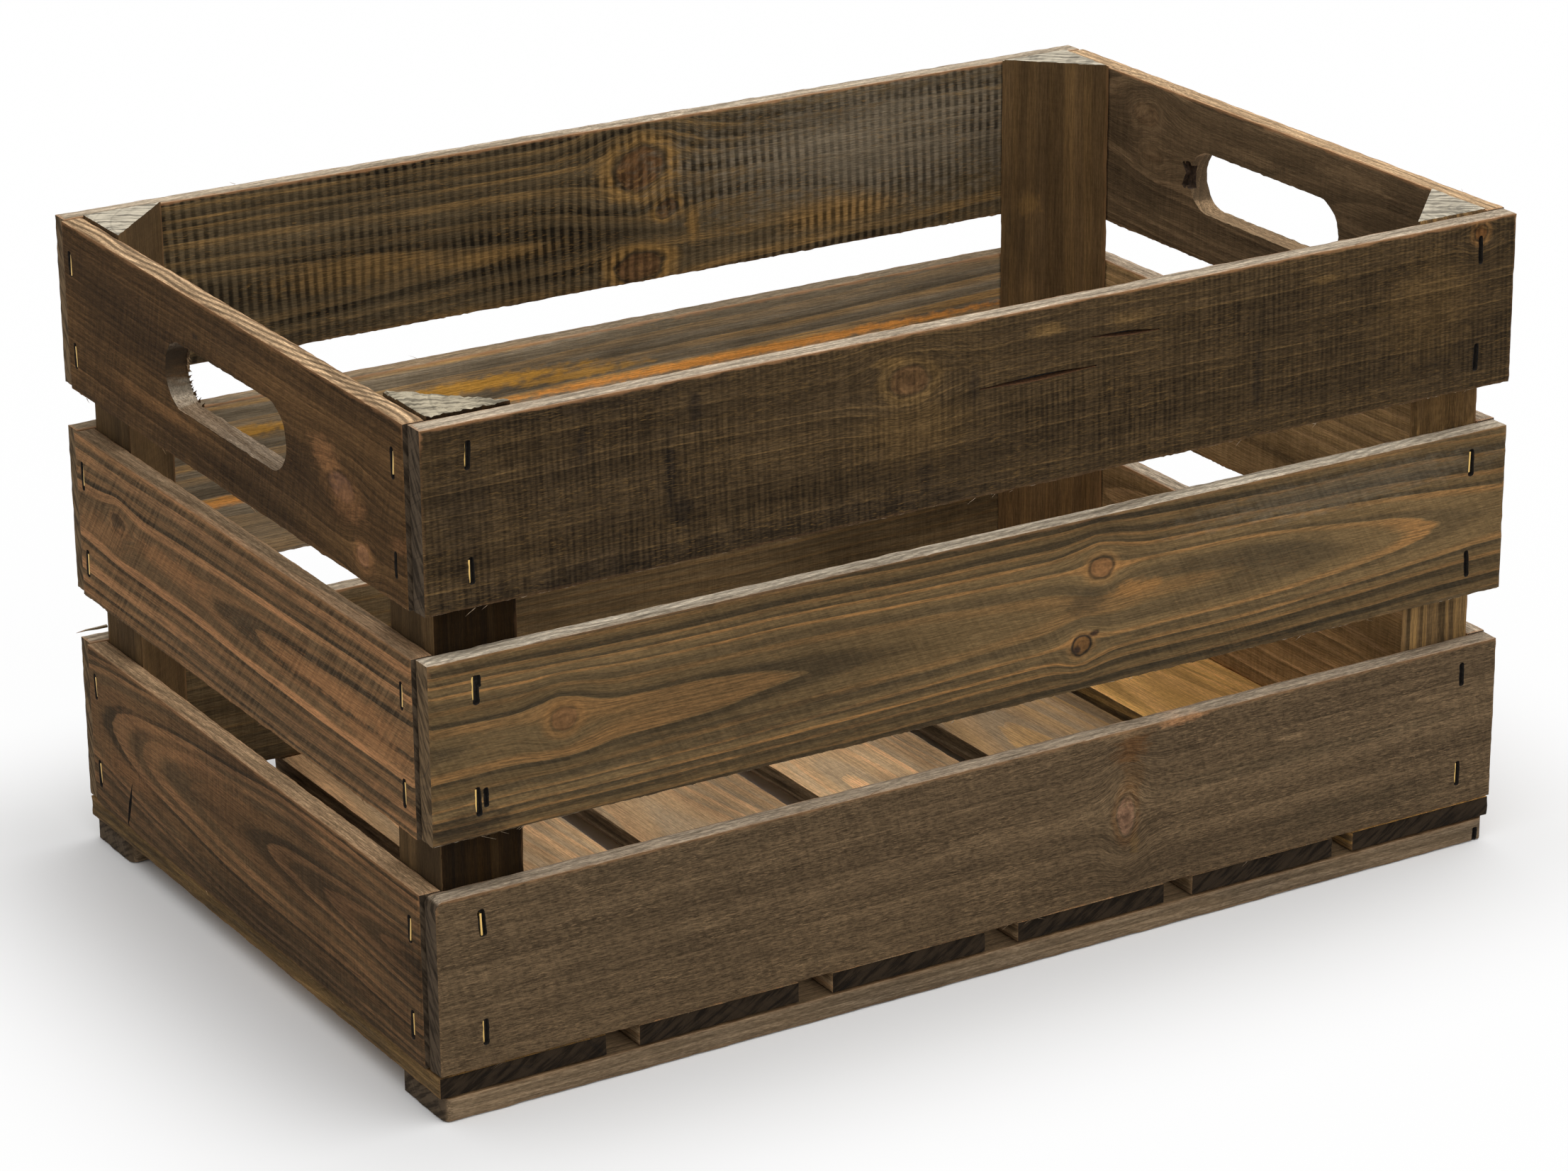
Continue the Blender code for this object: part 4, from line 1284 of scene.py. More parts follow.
def staple_places(wall, level, end):
    """The outer middle of a slat end's two crowns, upper then lower."""
    low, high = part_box(f"{wall}_{level}_staple_{end}")
    slat_low, slat_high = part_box(f"{wall}_{level}_slat")
    upper = (low + high) / 2
    deep = axis_of(WALL_AXES[wall][2])
    upper[deep] = slat_low[deep] if outward(wall) < 0 else slat_high[deep]
    lower = upper.copy()
    lower.z = slat_low.z + (sizes().side_staple if wall in SIDE_WALLS else sizes().end_staple)
    return upper, lower


def slat_cutters(wall, level, pattern, dice):
    """The slits at both ends of a slat."""
    cutters = []
    aside = sizes().slit_aside * (-1.0 if wall == "left" else 1.0)
    for end in WALL_ENDS[wall]:
        for spot in staple_places(wall, level, end):
            tilt = math.radians(dice.uniform(-SLIT_LEAN, SLIT_LEAN))
            tilt = Euler((0, tilt, 0)).to_matrix().to_4x4()
            spread = Matrix.Diagonal((dice.uniform(*SLIT_WIDER), 1, dice.uniform(*SLIT_LONGER), 1))
            offset = aside * dice.uniform(*SLIT_OFFSET)
            drop = Matrix.Translation((offset, 0, dice.uniform(-SLIT_DRIFT, SLIT_DRIFT)))
            place = Matrix.Translation(spot) @ wall_turn(wall) @ drop @ tilt @ spread
            cutters.append(copy_at(pattern, f"slit_{len(cutters)}", place))
    return cutters


def crack_tool():
    """A split in the wood, as upright as a slit: open in the middle and narrow at both ends."""
    half = half_slit()
    tool = add_block("crack_tool", -half, half)
    bpy.ops.object.mode_set(mode="EDIT")
    pick_edges(runs_along(2))
    bpy.ops.mesh.subdivide(number_cuts=CRACK_CUTS)
    mesh = bmesh.from_edit_mesh(tool.data)
    heights = sorted({round(point.co.z, 6) for point in mesh.verts})
    for height in heights:
        pick_points(lambda point: abs(point.z - height) < 1e-5)
        narrow = max(0.25, 1.0 - abs(height / half.z) ** 1.6)
        bpy.ops.transform.resize(value=(narrow, 1, 1))
    bpy.ops.object.mode_set(mode="OBJECT")
    displace(tool, "ragged", *CRACK_TEAR, 0.5)
    tool.data.materials.append(speckled_material("slit_shade", "slit_shade", 0.0, SLIT_ROUGH))
    tool.data.materials.append(speckled_material("lit_split_wood", "lit_split_wood", 0.0, TORN_ROUGH))
    # The tool's faces that look along x become the split's lower lip, which looks up. They take the fresh
    # wood with painted light, and the other faces take the painted shade of a slit.
    for face in tool.data.polygons:
        face.material_index = 1 if face.normal.x > 0.5 else 0
    return tool


def face_spot(wall, low, high, along, across, inner=False):
    """A point on a slat's outer or inner face, given in millimetres from the middle of that face."""
    axes = WALL_AXES[wall]
    deep = axis_of(axes[2])
    spot = (low + high) / 2
    spot[axis_of(axes[0])] += along * MM
    spot.z += across * MM
    at_low = (outward(wall) < 0) != inner
    spot[deep] = low[deep] if at_low else high[deep]
    return spot


def crack_cutters(finish, low, high, wall, pattern):
    """Splits in the outer face of a slat."""
    sized = sizes()
    cutters = []
    for number, crack in enumerate(finish.cracks):
        spot = face_spot(wall, low, high, crack.along, crack.across)
        lay = Matrix.Rotation(math.radians(90 - crack.slope), 4, "Y")
        width = crack.width * MM / sized.slit_width
        spread = Matrix.Diagonal((width, CRACK_DEPTH, crack.length * MM / sized.slit_length, 1))
        place = Matrix.Translation(spot) @ wall_turn(wall) @ lay @ spread
        cutters.append(copy_at(pattern, f"crack_{number}", place))
    return cutters


# The side slats whose upper left corner is rounded.
ROUNDED_SLATS = ("front_bottom_slat",)


class Slit(NamedTuple):
    """A hole left in a slat, in millimetres from the middle of a face of it. Lean is in degrees."""

    along: float
    across: float
    width: float
    height: float
    inner: bool = False
    deep: float = 1.0
    lean: float = 0.0


# Slits without a staple: two missed shots at the front, and wood torn out behind the right hand hole.
SPARE_SLITS = {
    "front_middle_slat": (Slit(-227.2, -20.5, 2.2, 8.0), Slit(-229.6, 26.0, 3.2, 5.0)),
    "right_top_slat": (
        Slit(54.0, 1.0, 4.4, 12.5, True, 1.4, 9.0),
        Slit(56.4, -2.2, 3.0, 7.0, True, 1.0, -24.0),
        Slit(57.0, 4.2, 1.8, 5.0, True, 0.7, 38.0),
    ),
}


def spare_slits(name, low, high, wall, pattern):
    """Cutters for a slat's spare slits."""
    sized = sizes()
    cutters = []
    for slit in SPARE_SLITS.get(name, ()):
        spot = face_spot(wall, low, high, slit.along, slit.across, slit.inner)
        lean = Matrix.Rotation(math.radians(slit.lean), 4, "Y")
        width = slit.width * MM / sized.slit_width
        spread = Matrix.Diagonal((width, slit.deep, slit.height * MM / sized.slit_length, 1))
        place = Matrix.Translation(spot) @ wall_turn(wall) @ lean @ spread
        cutters.append(copy_at(pattern, f"spare_{len(cutters)}", place))
        if slit.inner:
            cutters[-1].data.materials[0] = speckled_material("torn_wood", "torn_wood", 0.0, TORN_ROUGH)
    return cutters


# A face looks one way when its normal points at least this far that way.
FACING = 0.7


def repaint(piece, material, toward):
    """Gives the faces that look one way a material of their own."""
    piece.data.materials.append(material)
    for face in piece.data.polygons:
        if face.normal.dot(toward) > FACING:
            face.material_index = len(piece.data.materials) - 1


# Two right slats are paler on their inner faces.
INNER_FINISHES = {
    name: FINISHES[name]._replace(early="olive", late="tan", soak="umber_dark", gain=gain)
    for name, gain in (("right_middle_slat", 2.6), ("right_bottom_slat", 2.7))
}


# The wood inside the hand holes: one is grey and weathered at its back end, and has painted shade on the
# upper part of that end, under the top of the hole.
HOLE_FINISHES = {
    "left_top_slat": FINISHES["left_top_slat"]._replace(
        gain=1.25,
        edge=0.8,
        edge_colour="raw_edge",
        end_colour="end_grain",
        knots=(),
        # The second mark is painted shade under the top of the hole.
        marks=(Mark(49, -9, 8, 6, "post_end", 0.55), Mark(48, 6, 12, 10, "deep_stain_and_shade", 0.95)),
    ),
    "right_top_slat": FINISHES["right_top_slat"],
}
HOLE_LENGTH = 0.107
HOLE_HEIGHT = 0.028
HOLE_BELOW_TOP = 0.036
# How far the tools reach past the wood that they cut.
HOLE_OVERRUN = 0.004
CORNER_OVERRUN = 0.005
# Cells along the hole, through it and round each of its corners.
HOLE_CELLS = 30
HOLE_LAYERS = 6
HOLE_STEPS = 14
# The corners are rounded by a hair less than half the height, so that no two points meet.
HOLE_ROUNDING = 0.499


def make_wall(wall):
    """Builds the three slats of one wall."""
    dice = random.Random(stage().seed + sum(map(ord, wall)))
    pattern = slit_tool()
    split = crack_tool()
    axes = WALL_AXES[wall]
    for number, level in enumerate(LEVELS):
        name = f"{wall}_{level}_slat"
        low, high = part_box(name)
        seed = number + len(wall) * len(LEVELS)
        material = pine_material(name, FINISHES[name], low, high, axes, seed)
        piece = sawn_piece(name + "_sawn", low, high, axes)
        roughen(piece, "frayed", lambda point: point.z < low.z + FRAY_BAND, sizes().fray, FRAY_CELL)
        piece.data.materials.append(material)
        if name in ROUNDED_SLATS:
            radius = sizes().round_end
            centre = Vector((low.x + radius, 0, high.z - radius))
            round_corner(piece, centre, Vector((-1, 0, 0)), Vector((0, 0, 1)), radius)
        cut_away(piece, slat_cutters(wall, level, pattern, dice))
        cutters = spare_slits(name, low, high, wall, pattern)
        cutters += crack_cutters(FINISHES[name], low, high, wall, split)
        for cutter in cutters:
            cut_away(piece, [cutter])
        if name in HOLE_FINISHES:
            inside = pine_material(name + "_hole", HOLE_FINISHES[name], low, high, axes, seed)
            cut_away(piece, [hand_hole_tool(name, inside)])
        if name in INNER_FINISHES:
            pale = pine_material(name + "_inner", INNER_FINISHES[name], low, high, axes, seed)
            repaint(piece, pale, Vector((-1, 0, 0)))
        finish_piece(piece, material, [name])
    bpy.data.objects.remove(pattern)
    bpy.data.objects.remove(split)


def hand_hole_tool(slat, material):
    """The round-ended hand hole, with torn edges, lined with wood of its own."""
    low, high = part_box(slat)
    middle = (low + high) / 2
    middle.z = high.z - HOLE_BELOW_TOP
    half = Vector((high.x - low.x + HOLE_OVERRUN, HOLE_LENGTH, HOLE_HEIGHT)) / 2
    tool = add_block("hand_hole", middle - half, middle + half)
    bpy.ops.object.mode_set(mode="EDIT")
    pick_edges(runs_along(0))
    bpy.ops.mesh.bevel(offset=HOLE_HEIGHT * HOLE_ROUNDING, segments=HOLE_STEPS, affect="EDGES")
    cut_cells(1, HOLE_CELLS)
    cut_cells(0, HOLE_LAYERS)
    bpy.ops.object.mode_set(mode="OBJECT")
    displace(tool, "torn", *HOLE_TEAR, 0.5)
    tool.data.materials.append(material)
    return tool


class CRATE_OT_front_slats(bpy.types.Operator):
    """Build the three front slats"""

    bl_idname = "crate.front_slats"
    bl_label = "Front Slats"

    def execute(self, context):
        make_wall("front")
        return {"FINISHED"}


class CRATE_OT_back_slats(bpy.types.Operator):
    """Build the three back slats"""

    bl_idname = "crate.back_slats"
    bl_label = "Back Slats"

    def execute(self, context):
        make_wall("back")
        return {"FINISHED"}


class CRATE_OT_left_slats(bpy.types.Operator):
    """Build the three left slats, the top one with its hand hole"""

    bl_idname = "crate.left_slats"
    bl_label = "Left Slats"

    def execute(self, context):
        make_wall("left")
        return {"FINISHED"}


class CRATE_OT_right_slats(bpy.types.Operator):
    """Build the three right slats, the top one with its hand hole"""

    bl_idname = "crate.right_slats"
    bl_label = "Right Slats"

    def execute(self, context):
        make_wall("right")
        return {"FINISHED"}


def corner_tool(low, high, inward, material):
    """A sawn block that takes the inner half off a square post, along its diagonal."""
    sized = sizes()
    leg = (high - low).x
    half = Vector((leg, leg, (high - low).z / 2 + CORNER_OVERRUN))
    tool = add_block("corner_tool", Vector((0, -half.y, -half.z)), half)
    bpy.ops.object.mode_set(mode="EDIT")
    cut_cells(1, round(2 * half.y / sized.cell_width))
    cut_cells(2, round(2 * half.z / sized.cell_length))
    bpy.ops.object.mode_set(mode="OBJECT")
    displace(tool, "uneven", UNEVEN_CELL, sized.uneven, 0.5)
    turn = Matrix.Rotation(math.atan2(inward.y, inward.x), 4, "Z")
    tool.data.transform(Matrix.Translation((low + high) / 2) @ turn)
    tool.data.materials.append(material)
    return tool


# The rest of the front left post carries painted shade; it is lighter on the face towards the left end.
LIGHT_POST = FINISHES["front_left_post"]._replace(early="post_brown", soak="walnut_dark", gain=1.2)
# How much brighter the diagonal face of each post is than its other faces: painted light on the face that
# looks into the crate.
DIAGONAL_LIGHT_GAIN = {
    "front_left_post": 2.0,
    "front_right_post": 1.2,
    "back_left_post": 2.0,
    "back_right_post": 1.0,
}
# The saw's ridges on a post's top run along the first of these axes.
RIDGE_AXES = "yxz"
# Where the seeds of the posts, the bottom boards and the runners start.
POST_SEED = 20
BOARD_SEED = 30
RUNNER_SEED = 40


class CRATE_OT_posts(bpy.types.Operator):
    """Build the four corner posts"""

    bl_idname = "crate.posts"
    bl_label = "Corner Posts"

    def execute(self, context):
        corners = [(depth, side) for depth in ("front", "back") for side in ("left", "right")]
        for seed, (depth, side) in enumerate(corners, POST_SEED):
            name = f"{depth}_{side}_post"
            low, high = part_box(name)
            finish = FINISHES[name]
            material = pine_material(name, finish, low, high, POST_AXES, seed)
            piece = sawn_piece(name + "_sawn", low, high, POST_AXES, sizes().post_cell)
            ridge = sizes().coarse_ridge if name == "front_left_post" else sizes().fine_ridge
            top = high.z - RIDGE_BAND
            roughen(piece, "ridges", lambda point: point.z > top, ridge, RIDGE_CELL, RIDGE_AXES)
            piece.data.materials.append(material)
            inward = Vector((1 if side == "left" else -1, 1 if depth == "front" else -1, 0))
            # A brighter copy of the post's material: painted light for its diagonal face.
            bright = finish._replace(gain=finish.gain * DIAGONAL_LIGHT_GAIN[name])
            lit_diagonal_face = pine_material(name + "_lit_diagonal_face", bright, low, high, POST_AXES, seed)
            cut_away(piece, [corner_tool(low, high, inward, lit_diagonal_face)])
            if name == "front_left_post":
                end_face = pine_material(name + "_end_face", LIGHT_POST, low, high, POST_AXES, seed)
                repaint(piece, end_face, Vector((-1, 0, 0)))
            finish_piece(piece, material, [name])
        return {"FINISHED"}


class CRATE_OT_bottom_boards(bpy.types.Operator):
    """Build the six bottom boards"""

    bl_idname = "crate.bottom_boards"
    bl_label = "Bottom Boards"

    def execute(self, context):
        for number in range(1, BOARD_COUNT + 1):
            name = f"bottom_board_{number}"
            low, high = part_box(name)
            material = pine_material(name, board_finish(number), low, high, BOARD_AXES, number + BOARD_SEED)
            piece = sawn_piece(name + "_sawn", low, high, BOARD_AXES)
            finish_piece(piece, material, [name])
        return {"FINISHED"}


# A notch in the front runner, made with a shortened slit.
NOTCH_PLACE = 0.2433
NOTCH_HEIGHT = 0.0034
NOTCH_SPREAD = (1.0, 1.0, 0.55, 1.0)


class CRATE_OT_runners(bpy.types.Operator):
    """Build the two runners"""

    bl_idname = "crate.runners"
    bl_label = "Runners"

    def execute(self, context):
        for seed, depth in enumerate(("front", "back"), RUNNER_SEED):
            name = f"{depth}_runner"
            low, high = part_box(name)
            material = pine_material(name, FINISHES["runner"], low, high, RUNNER_AXES, seed)
            piece = sawn_piece(name + "_sawn", low, high, RUNNER_AXES)
            piece.data.materials.append(material)
            radius = sizes().round_end
            for side, near in ((-1, -1), (-1, 1), (1, -1), (1, 1)):
                corner = Vector((high.x if side > 0 else low.x, high.y if near > 0 else low.y, 0))
                centre = corner - Vector((side * radius, near * radius, 0))
                round_corner(piece, centre, Vector((side, 0, 0)), Vector((0, near, 0)), radius)
            if depth == "front":
                pattern = slit_tool()
                place = Matrix.Translation((NOTCH_PLACE, low.y, NOTCH_HEIGHT))
                notch = copy_at(pattern, "notch", place @ Matrix.Diagonal(NOTCH_SPREAD))
                cut_away(piece, [notch])
                bpy.data.objects.remove(pattern)
            finish_piece(piece, material, [name])
        return {"FINISHED"}


# Cuts along a crown, how much of it each leg takes and how far its edges are rounded, in wire widths.
CROWN_CUTS = 6
LEG_SHARE = 1.4
WIRE_ROUNDING = 0.24


def staple_pattern():
    """One staple for the front wall: an upright crown with its face at the origin, and two legs."""
    sized = sizes()
    half_wire = sized.wire_width / 2
    half = Vector((half_wire, half_wire, sized.crown_length / 2))
    pattern = add_block("staple", -half, half)
    pattern.data.transform(Matrix.Translation((0, half_wire, 0)))
    bpy.ops.object.mode_set(mode="EDIT")
    pick_edges(runs_along(2))
    bpy.ops.mesh.subdivide(number_cuts=CROWN_CUTS)
    bpy.ops.mesh.select_mode(type="FACE")
    bpy.ops.mesh.select_all(action="DESELECT")
    mesh = bmesh.from_edit_mesh(pattern.data)
    reach = sized.crown_length / 2 - sized.wire_width * LEG_SHARE
    for face in mesh.faces:
        face.select_set(face.normal.y > 0.9 and abs(face.calc_center_median().z) > reach)
    bmesh.update_edit_mesh(pattern.data)
    bpy.ops.mesh.extrude_region_move(TRANSFORM_OT_translate={"value": (0, sized.leg_length, 0)})
    pick_sharp_edges()
    bpy.ops.mesh.bevel(offset=sized.wire_width * WIRE_ROUNDING, segments=2, affect="EDGES")
    bpy.ops.object.mode_set(mode="OBJECT")
    return pattern


# Most that a crown leans, in degrees, and the least and most of its sink that the dice give it.
MOST_LEAN = 3
SINK_SHARE = (-0.1, 1.0)
# Crowns whose depth below the face of the slat is seen in the photo, and how far they are driven.
DEEP_STAPLES = {
    ("front_top_staple_left", "upper"): 0.0015,
    ("front_top_staple_right", "upper"): 0.0021,
    ("front_top_staple_right", "lower"): 0.0021,
    ("front_middle_staple_left", "upper"): 0.0012,
    ("front_middle_staple_right", "upper"): 0.0003,
    ("front_middle_staple_right", "lower"): 0.0017,
    ("front_bottom_staple_right", "upper"): 0.0021,
    ("front_bottom_staple_right", "lower"): 0.0008,
    ("left_top_staple_front", "lower"): 0.0012,
}


class CRATE_OT_staples(bpy.types.Operator):
    """Build the wall staples, two at each end of each slat, and finish those under the runners"""

    bl_idname = "crate.staples"
    bl_label = "Staples"

    def execute(self, context):
        dice = random.Random(stage().seed)
        wire = speckled_material("staple_wire", "wire_gold", 1.0, WIRE_ROUGH)
        pattern = staple_pattern()
        for wall, ends in WALL_ENDS.items():
            most = sizes().side_sink if wall in SIDE_WALLS else sizes().end_sink
            for level, end in ((level, end) for level in LEVELS for end in ends):
                node = f"{wall}_{level}_staple_{end}"
                for label, spot in zip(("upper", "lower"), staple_places(wall, level, end)):
                    turns = [math.radians(dice.uniform(-MOST_LEAN, MOST_LEAN)) for _ in "xy"]
                    lean = Euler((*turns, 0)).to_matrix().to_4x4()
                    depth = DEEP_STAPLES.get((node, label), most * dice.uniform(*SINK_SHARE))
                    sink = Matrix.Translation((0, depth, 0))
                    place = Matrix.Translation(spot) @ wall_turn(wall) @ sink @ lean
                    piece = copy_at(pattern, f"{node}_{label}", place)
                    finish_piece(piece, wire, [node] if label == "upper" else [])
        bpy.data.objects.remove(pattern)
        for name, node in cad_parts.items():
            if name.startswith("bottom_board") and "staple" in name:
                node.data.materials.clear()
                node.data.materials.append(wire)
        return {"FINISHED"}


class Splinter(NamedTuple):
    """A torn sliver: its start in metres, the way it points, and its length and width in millimetres."""

    start: tuple
    point: tuple
    length: float
    width: float


# A long sliver sticks out at the back left corner, over the bottom slat.
LOOSE_SLIVER = Splinter((-0.2385, 0.1575, 0.0945), (-1.0, 0.05, -0.03), 14.0, 1.5)
HAIRS_PER_SLAT = {"front": 16, "left": 9, "back": 8, "right": 6}
# How far a hair starts inside its edge, inside the face, and from the ends of the slat.
HAIR_INSET = 0.0002
HAIR_ROOT = 0.0004
HAIR_MARGIN = 0.01
# Every so many hairs one is on the upper edge. Hairs there rise by the first slope, others by the second.
UPPER_EVERY = 5
HAIR_SLOPES = (0.5, -0.35)
# How far a hair points out of the face, its length and its width, the last two in millimetres.
HAIR_OUTWARD = (-0.1, 0.5)
HAIR_LENGTH = (1.5, 6.0)
HAIR_WIDTH = (0.12, 0.3)
# Where the teeth stand round the hand hole, in degrees from the back, and how far they stray from there.
TOOTH_ANGLES = (*range(-86, 34, 6), 152, 161, 172, 180, 193)
TOOTH_STRAY = 3
# How far a tooth starts outside the hole and how much it leans, and its length and width in millimetres.
TOOTH_ROOT = 0.0009
TOOTH_LEAN = (-0.9, 0.5)
BACK_TOOTH = (1.0, 4.4)
FRONT_TOOTH = (0.8, 2.2)
TOOTH_WIDTH = (0.5, 1.5)
# Sets the dice of the splinters apart from those of the staples.
SPLINTER_SEED = 5


def splinter_pattern():
    """One sliver a metre long, upright, thinning to a bent tip. Copies are scaled down."""
    pattern = add_block("splinter", Vector((-0.5, -0.3, 0.0)), Vector((0.5, 0.3, 1.0)))
    bpy.ops.object.mode_set(mode="EDIT")
    pick_edges(runs_along(2))
    bpy.ops.mesh.subdivide(number_cuts=2)
    for height, share, aside in ((1 / 3, 0.85, 0.1), (2 / 3, 0.55, -0.2), (1.0, 0.1, 0.35)):
        pick_points(lambda point: abs(point.z - height) < 0.01)
        bpy.ops.transform.resize(value=(share, share, 1))
        bpy.ops.transform.translate(value=(aside, 0, 0))
    bpy.ops.object.mode_set(mode="OBJECT")
    return pattern


def edge_hairs(wall, low, high, dice):
    """Hairs torn loose along a slat's lower edge, and a few along its upper edge."""
    axes = WALL_AXES[wall]
    along, deep = axis_of(axes[0]), axis_of(axes[2])
    side = outward(wall)
    hairs = []
    for number in range(HAIRS_PER_SLAT[wall]):
        upper = number % UPPER_EVERY == UPPER_EVERY - 1
        start = Vector((0, 0, high.z - HAIR_INSET if upper else low.z + HAIR_INSET))
        start[along] = dice.uniform(low[along] + HAIR_MARGIN, high[along] - HAIR_MARGIN)
        start[deep] = (low if side < 0 else high)[deep] - side * HAIR_ROOT
        point = Vector((0, 0, HAIR_SLOPES[0] if upper else HAIR_SLOPES[1]))
        point[along] = dice.choice((-1.0, 1.0))
        point[deep] = side * dice.uniform(*HAIR_OUTWARD)
        hairs.append(Splinter(start, point, dice.uniform(*HAIR_LENGTH), dice.uniform(*HAIR_WIDTH)))
    return hairs


def hole_teeth(wall, low, high, dice):
    """Torn teeth round the back end of a hand hole, and a few at the front, along its inner edge."""
    inner = high.x if wall == "left" else low.x
    middle = high.z - HOLE_BELOW_TOP
    radius = HOLE_HEIGHT / 2
    teeth = []
    for degrees in TOOTH_ANGLES:
        turn = math.radians(degrees + dice.uniform(-TOOTH_STRAY, TOOTH_STRAY))
        end = Vector((0, math.cos(turn), math.sin(turn)))
        centre = Vector((inner, math.copysign(HOLE_LENGTH / 2 - radius, end.y), middle))
        start = centre + end * (radius + TOOTH_ROOT)
        aside = Vector((0, -end.z, end.y)) * dice.uniform(*TOOTH_LEAN)
        reach = dice.uniform(*(BACK_TOOTH if end.y > 0 else FRONT_TOOTH))
        teeth.append(Splinter(start, aside - end, reach, dice.uniform(*TOOTH_WIDTH)))
    return teeth


class CRATE_OT_splinters(bpy.types.Operator):
    """Build the torn fibres on the slats' edges and round the left hand hole"""

    bl_idname = "crate.splinters"
    bl_label = "Splinters"

    def execute(self, context):
        dice = random.Random(stage().seed + SPLINTER_SEED)
        pattern = splinter_pattern()
        for wall in WALL_AXES:
            for level in LEVELS:
                slat = f"{wall}_{level}_slat"
                low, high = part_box(slat)
                slivers = edge_hairs(wall, low, high, dice)
                if slat == "left_top_slat":
                    slivers += hole_teeth(wall, low, high, dice)
                if slat == "back_bottom_slat":
                    slivers.append(LOOSE_SLIVER)
                copies = []
                for sliver in slivers:
                    turn = Vector(sliver.point).to_track_quat("Z", "Y").to_matrix().to_4x4()
                    size = Matrix.Diagonal((sliver.width * MM, sliver.width * MM, sliver.length * MM, 1))
                    place = Matrix.Translation(sliver.start) @ turn @ size
                    copies.append(copy_at(pattern, f"{slat}_splinters", place))
                pick(copies[0])
                for made in copies:
                    made.select_set(True)
                bpy.ops.object.join()
                piece = context.object
                piece.name = f"{slat}_splinters"
                finish_piece(piece, bpy.data.materials[slat], [])
        bpy.data.objects.remove(pattern)
        return {"FINISHED"}


CAMERA_PLACE = (-1.00296, -1.64739, 0.85043)
CAMERA_TURN = (69.1124, 0.3936, -31.4569)
SENSOR_WIDTH = 36.0
FAR_CLIP = 100.0
FLOOR_HALF = 8.0
FLOOR_ROUGH = 0.9
# The floor lies just below the runners' uneven undersides.
FLOOR_DROP = 0.0002
# The floor turns white over this distance from the crate, by this share.
WHITE_REACH = 0.14
WHITE_SHARE = 0.92
WHITE = (1, 1, 1, 1)
KEY_PLACE = Vector((0.35, -0.45, 1.0))


def add_soft_light(name, place, strength, spread):
    """A wide lamp like a large soft box, shining from a place towards the origin."""
    lamp = bpy.data.lights.new(name, "SUN")
    lamp.energy = strength
    lamp.angle = spread
    made = bpy.data.objects.new(name, lamp)
    bpy.context.scene.collection.objects.link(made)
    made.location = place
    made.rotation_euler = (-place).to_track_quat("-Z", "Y").to_euler()


def seen_ray(wires):
    """1 for rays from the camera, and from metal or glass that mirrors the background."""
    path = wires.node("ShaderNodeLightPath")
    direct = wires.math("MAXIMUM", path.outputs["Is Camera Ray"], path.outputs["Is Glossy Ray"])
    return wires.math("MAXIMUM", direct, path.outputs["Is Transmission Ray"])


def mix_shaders(wires, share, first, second):
    return wires.fill(wires.node("ShaderNodeMixShader"), share, first, second)[0]


def whiten_far(wires, shader):
    """Turns the floor white away from the crate, where the camera sees it. The crate's shadow stays."""
    high = CAD_BOX[1]
    spot = wires.node("ShaderNodeTexCoord").outputs["Object"]
    beyond = wires.vector("SUBTRACT", wires.vector("ABSOLUTE", spot), (high.x, high.y, 0.0))
    beyond = wires.vector("MAXIMUM", beyond, (0.0, 0.0, 0.0))
    share = wires.ramp(wires.vector("LENGTH", beyond), 0.0, WHITE_REACH, 0.0, WHITE_SHARE)
    white = wires.fill(wires.node("ShaderNodeEmission"), WHITE, 1.0)[0]
    mixed = mix_shaders(wires, wires.times(share, seen_ray(wires)), shader.outputs["BSDF"], white)
    end = next(node for node in wires.tree.nodes if node.type == "OUTPUT_MATERIAL")
    wires.feed(end.inputs["Surface"], mixed)


def even_sky(strength):
    """A world that lights the crate evenly, and is white where the camera sees it."""
    world = bpy.data.worlds.new("even_sky")
    world.use_nodes = True
    world.node_tree.nodes.clear()
    wires = Wiring(world.node_tree)
    light = wires.fill(wires.node("ShaderNodeBackground"), WHITE, strength)[0]
    seen = wires.fill(wires.node("ShaderNodeBackground"), WHITE, 1.0)[0]
    mixed = mix_shaders(wires, seen_ray(wires), light, seen)
    wires.feed(wires.node("ShaderNodeOutputWorld").inputs["Surface"], mixed)
    return world


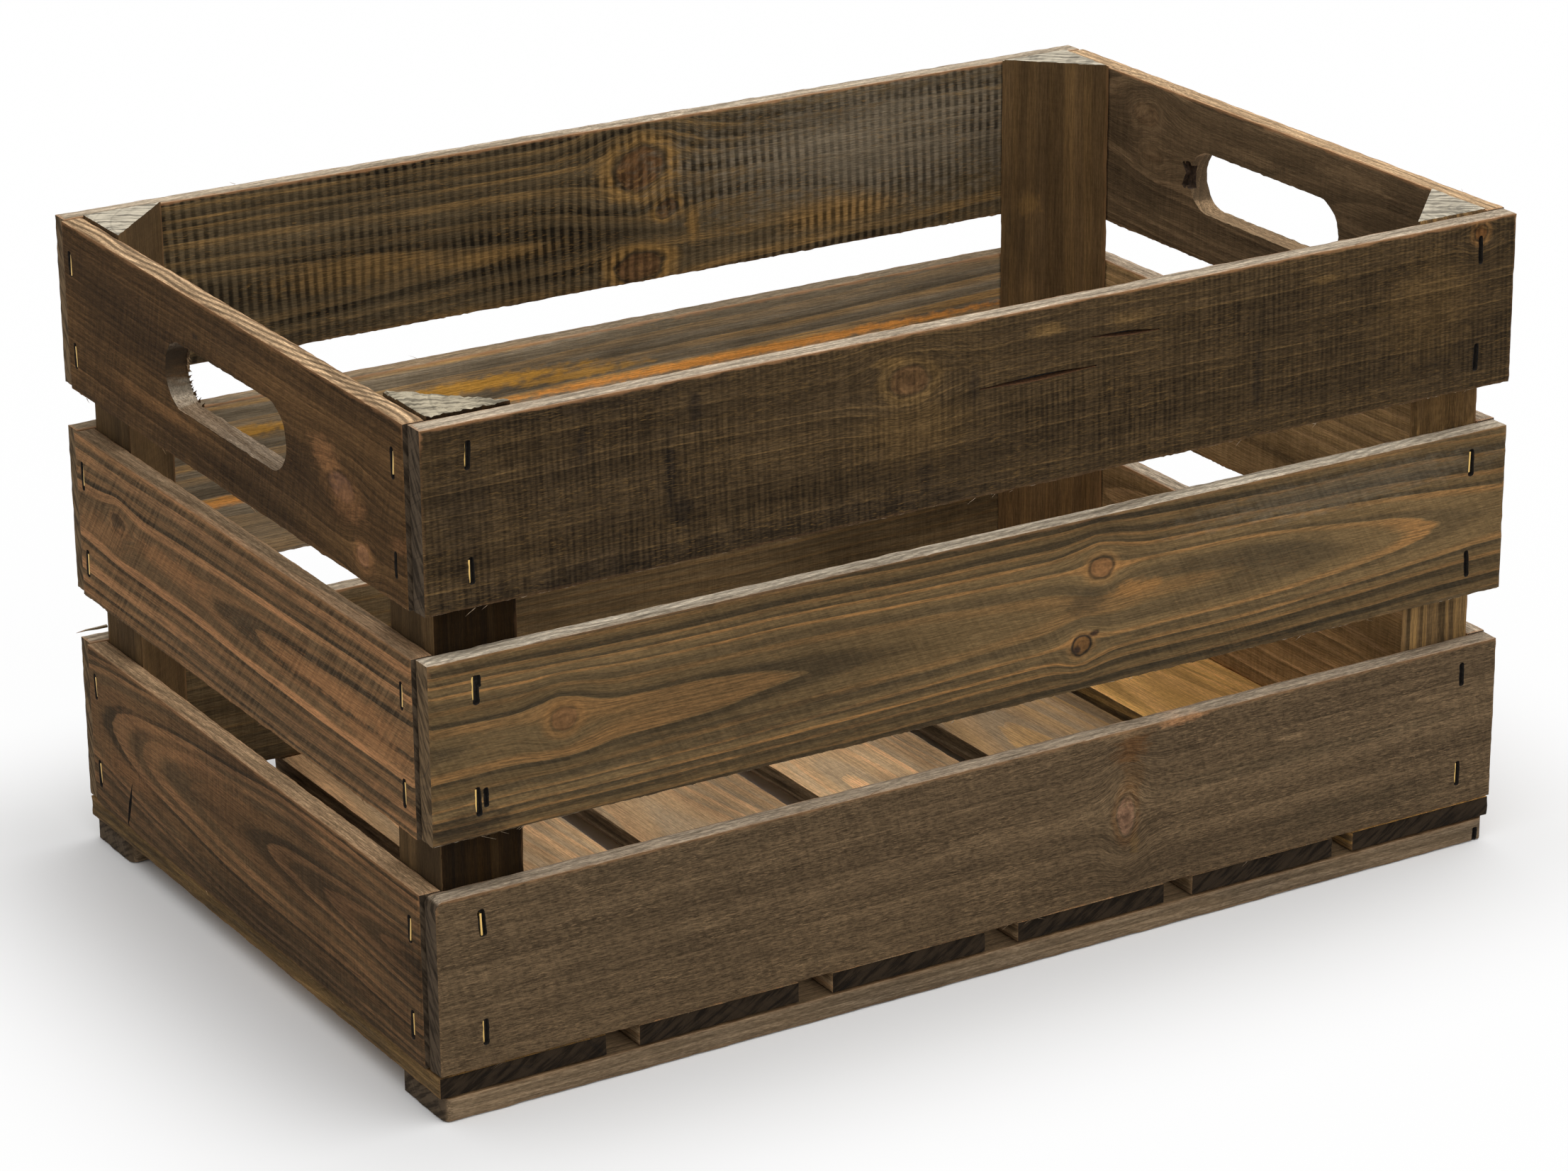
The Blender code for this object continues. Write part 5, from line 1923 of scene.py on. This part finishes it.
class CRATE_OT_stage(bpy.types.Operator):
    """Build the floor, the light and the camera"""

    bl_idname = "crate.stage"
    bl_label = "Stage"

    def execute(self, context):
        settings = stage()
        scene = context.scene
        scene.view_settings.view_transform = "Standard"
        bpy.ops.object.select_all(action="DESELECT")
        bpy.ops.mesh.primitive_plane_add(size=FLOOR_HALF * 2, location=(0, 0, -FLOOR_DROP))
        floor = context.object
        floor.name = "floor"
        material, wires, shader = new_material("plain_floor")
        shader.inputs["Base Color"].default_value = rgba("floor")
        shader.inputs["Roughness"].default_value = FLOOR_ROUGH
        shader.inputs["Specular IOR Level"].default_value = 0.0
        whiten_far(wires, shader)
        floor.data.materials.append(material)
        add_soft_light("key_light", KEY_PLACE, settings.key, settings.key_spread)
        scene.world = even_sky(settings.sky)
        lens = bpy.data.cameras.new("camera")
        lens.lens = settings.lens
        lens.sensor_width = SENSOR_WIDTH
        lens.sensor_fit = "HORIZONTAL"
        lens.clip_end = FAR_CLIP
        camera = bpy.data.objects.new("camera", lens)
        scene.collection.objects.link(camera)
        camera.location = CAMERA_PLACE
        camera.rotation_euler = tuple(map(math.radians, CAMERA_TURN))
        scene.camera = camera
        return {"FINISHED"}


BUILD_STEPS = (
    CRATE_OT_front_slats,
    CRATE_OT_back_slats,
    CRATE_OT_left_slats,
    CRATE_OT_right_slats,
    CRATE_OT_posts,
    CRATE_OT_bottom_boards,
    CRATE_OT_runners,
    CRATE_OT_staples,
    CRATE_OT_splinters,
    CRATE_OT_stage,
)


class CRATE_PT_panel(bpy.types.Panel):
    """Buttons and settings for dressing the crate"""

    bl_label = "Apple Crate"
    bl_idname = "CRATE_PT_panel"
    bl_space_type = "VIEW_3D"
    bl_region_type = "UI"
    bl_category = "Crate"

    def draw(self, context):
        column = self.layout.column()
        for step in BUILD_STEPS:
            column.operator(step.bl_idname)
        for group in (context.scene.crate_sizes, context.scene.crate_colours, context.scene.crate_stage):
            box = self.layout.box()
            for name in group.__annotations__:
                box.prop(group, name)


CLASSES = (CrateSizes, CrateColours, CrateStage, *BUILD_STEPS, CRATE_PT_panel)


def register():
    for cls in CLASSES:
        bpy.utils.register_class(cls)
    bpy.types.Scene.crate_sizes = PointerProperty(type=CrateSizes)
    bpy.types.Scene.crate_colours = PointerProperty(type=CrateColours)
    bpy.types.Scene.crate_stage = PointerProperty(type=CrateStage)


def unregister():
    del bpy.types.Scene.crate_stage
    del bpy.types.Scene.crate_colours
    del bpy.types.Scene.crate_sizes
    for cls in reversed(CLASSES):
        bpy.utils.unregister_class(cls)


def main():
    register()
    bpy.ops.crate.front_slats()
    bpy.ops.crate.back_slats()
    bpy.ops.crate.left_slats()
    bpy.ops.crate.right_slats()
    bpy.ops.crate.posts()
    bpy.ops.crate.bottom_boards()
    bpy.ops.crate.runners()
    bpy.ops.crate.staples()
    bpy.ops.crate.splinters()
    bpy.ops.crate.stage()


if __name__ == "__main__":
    main()
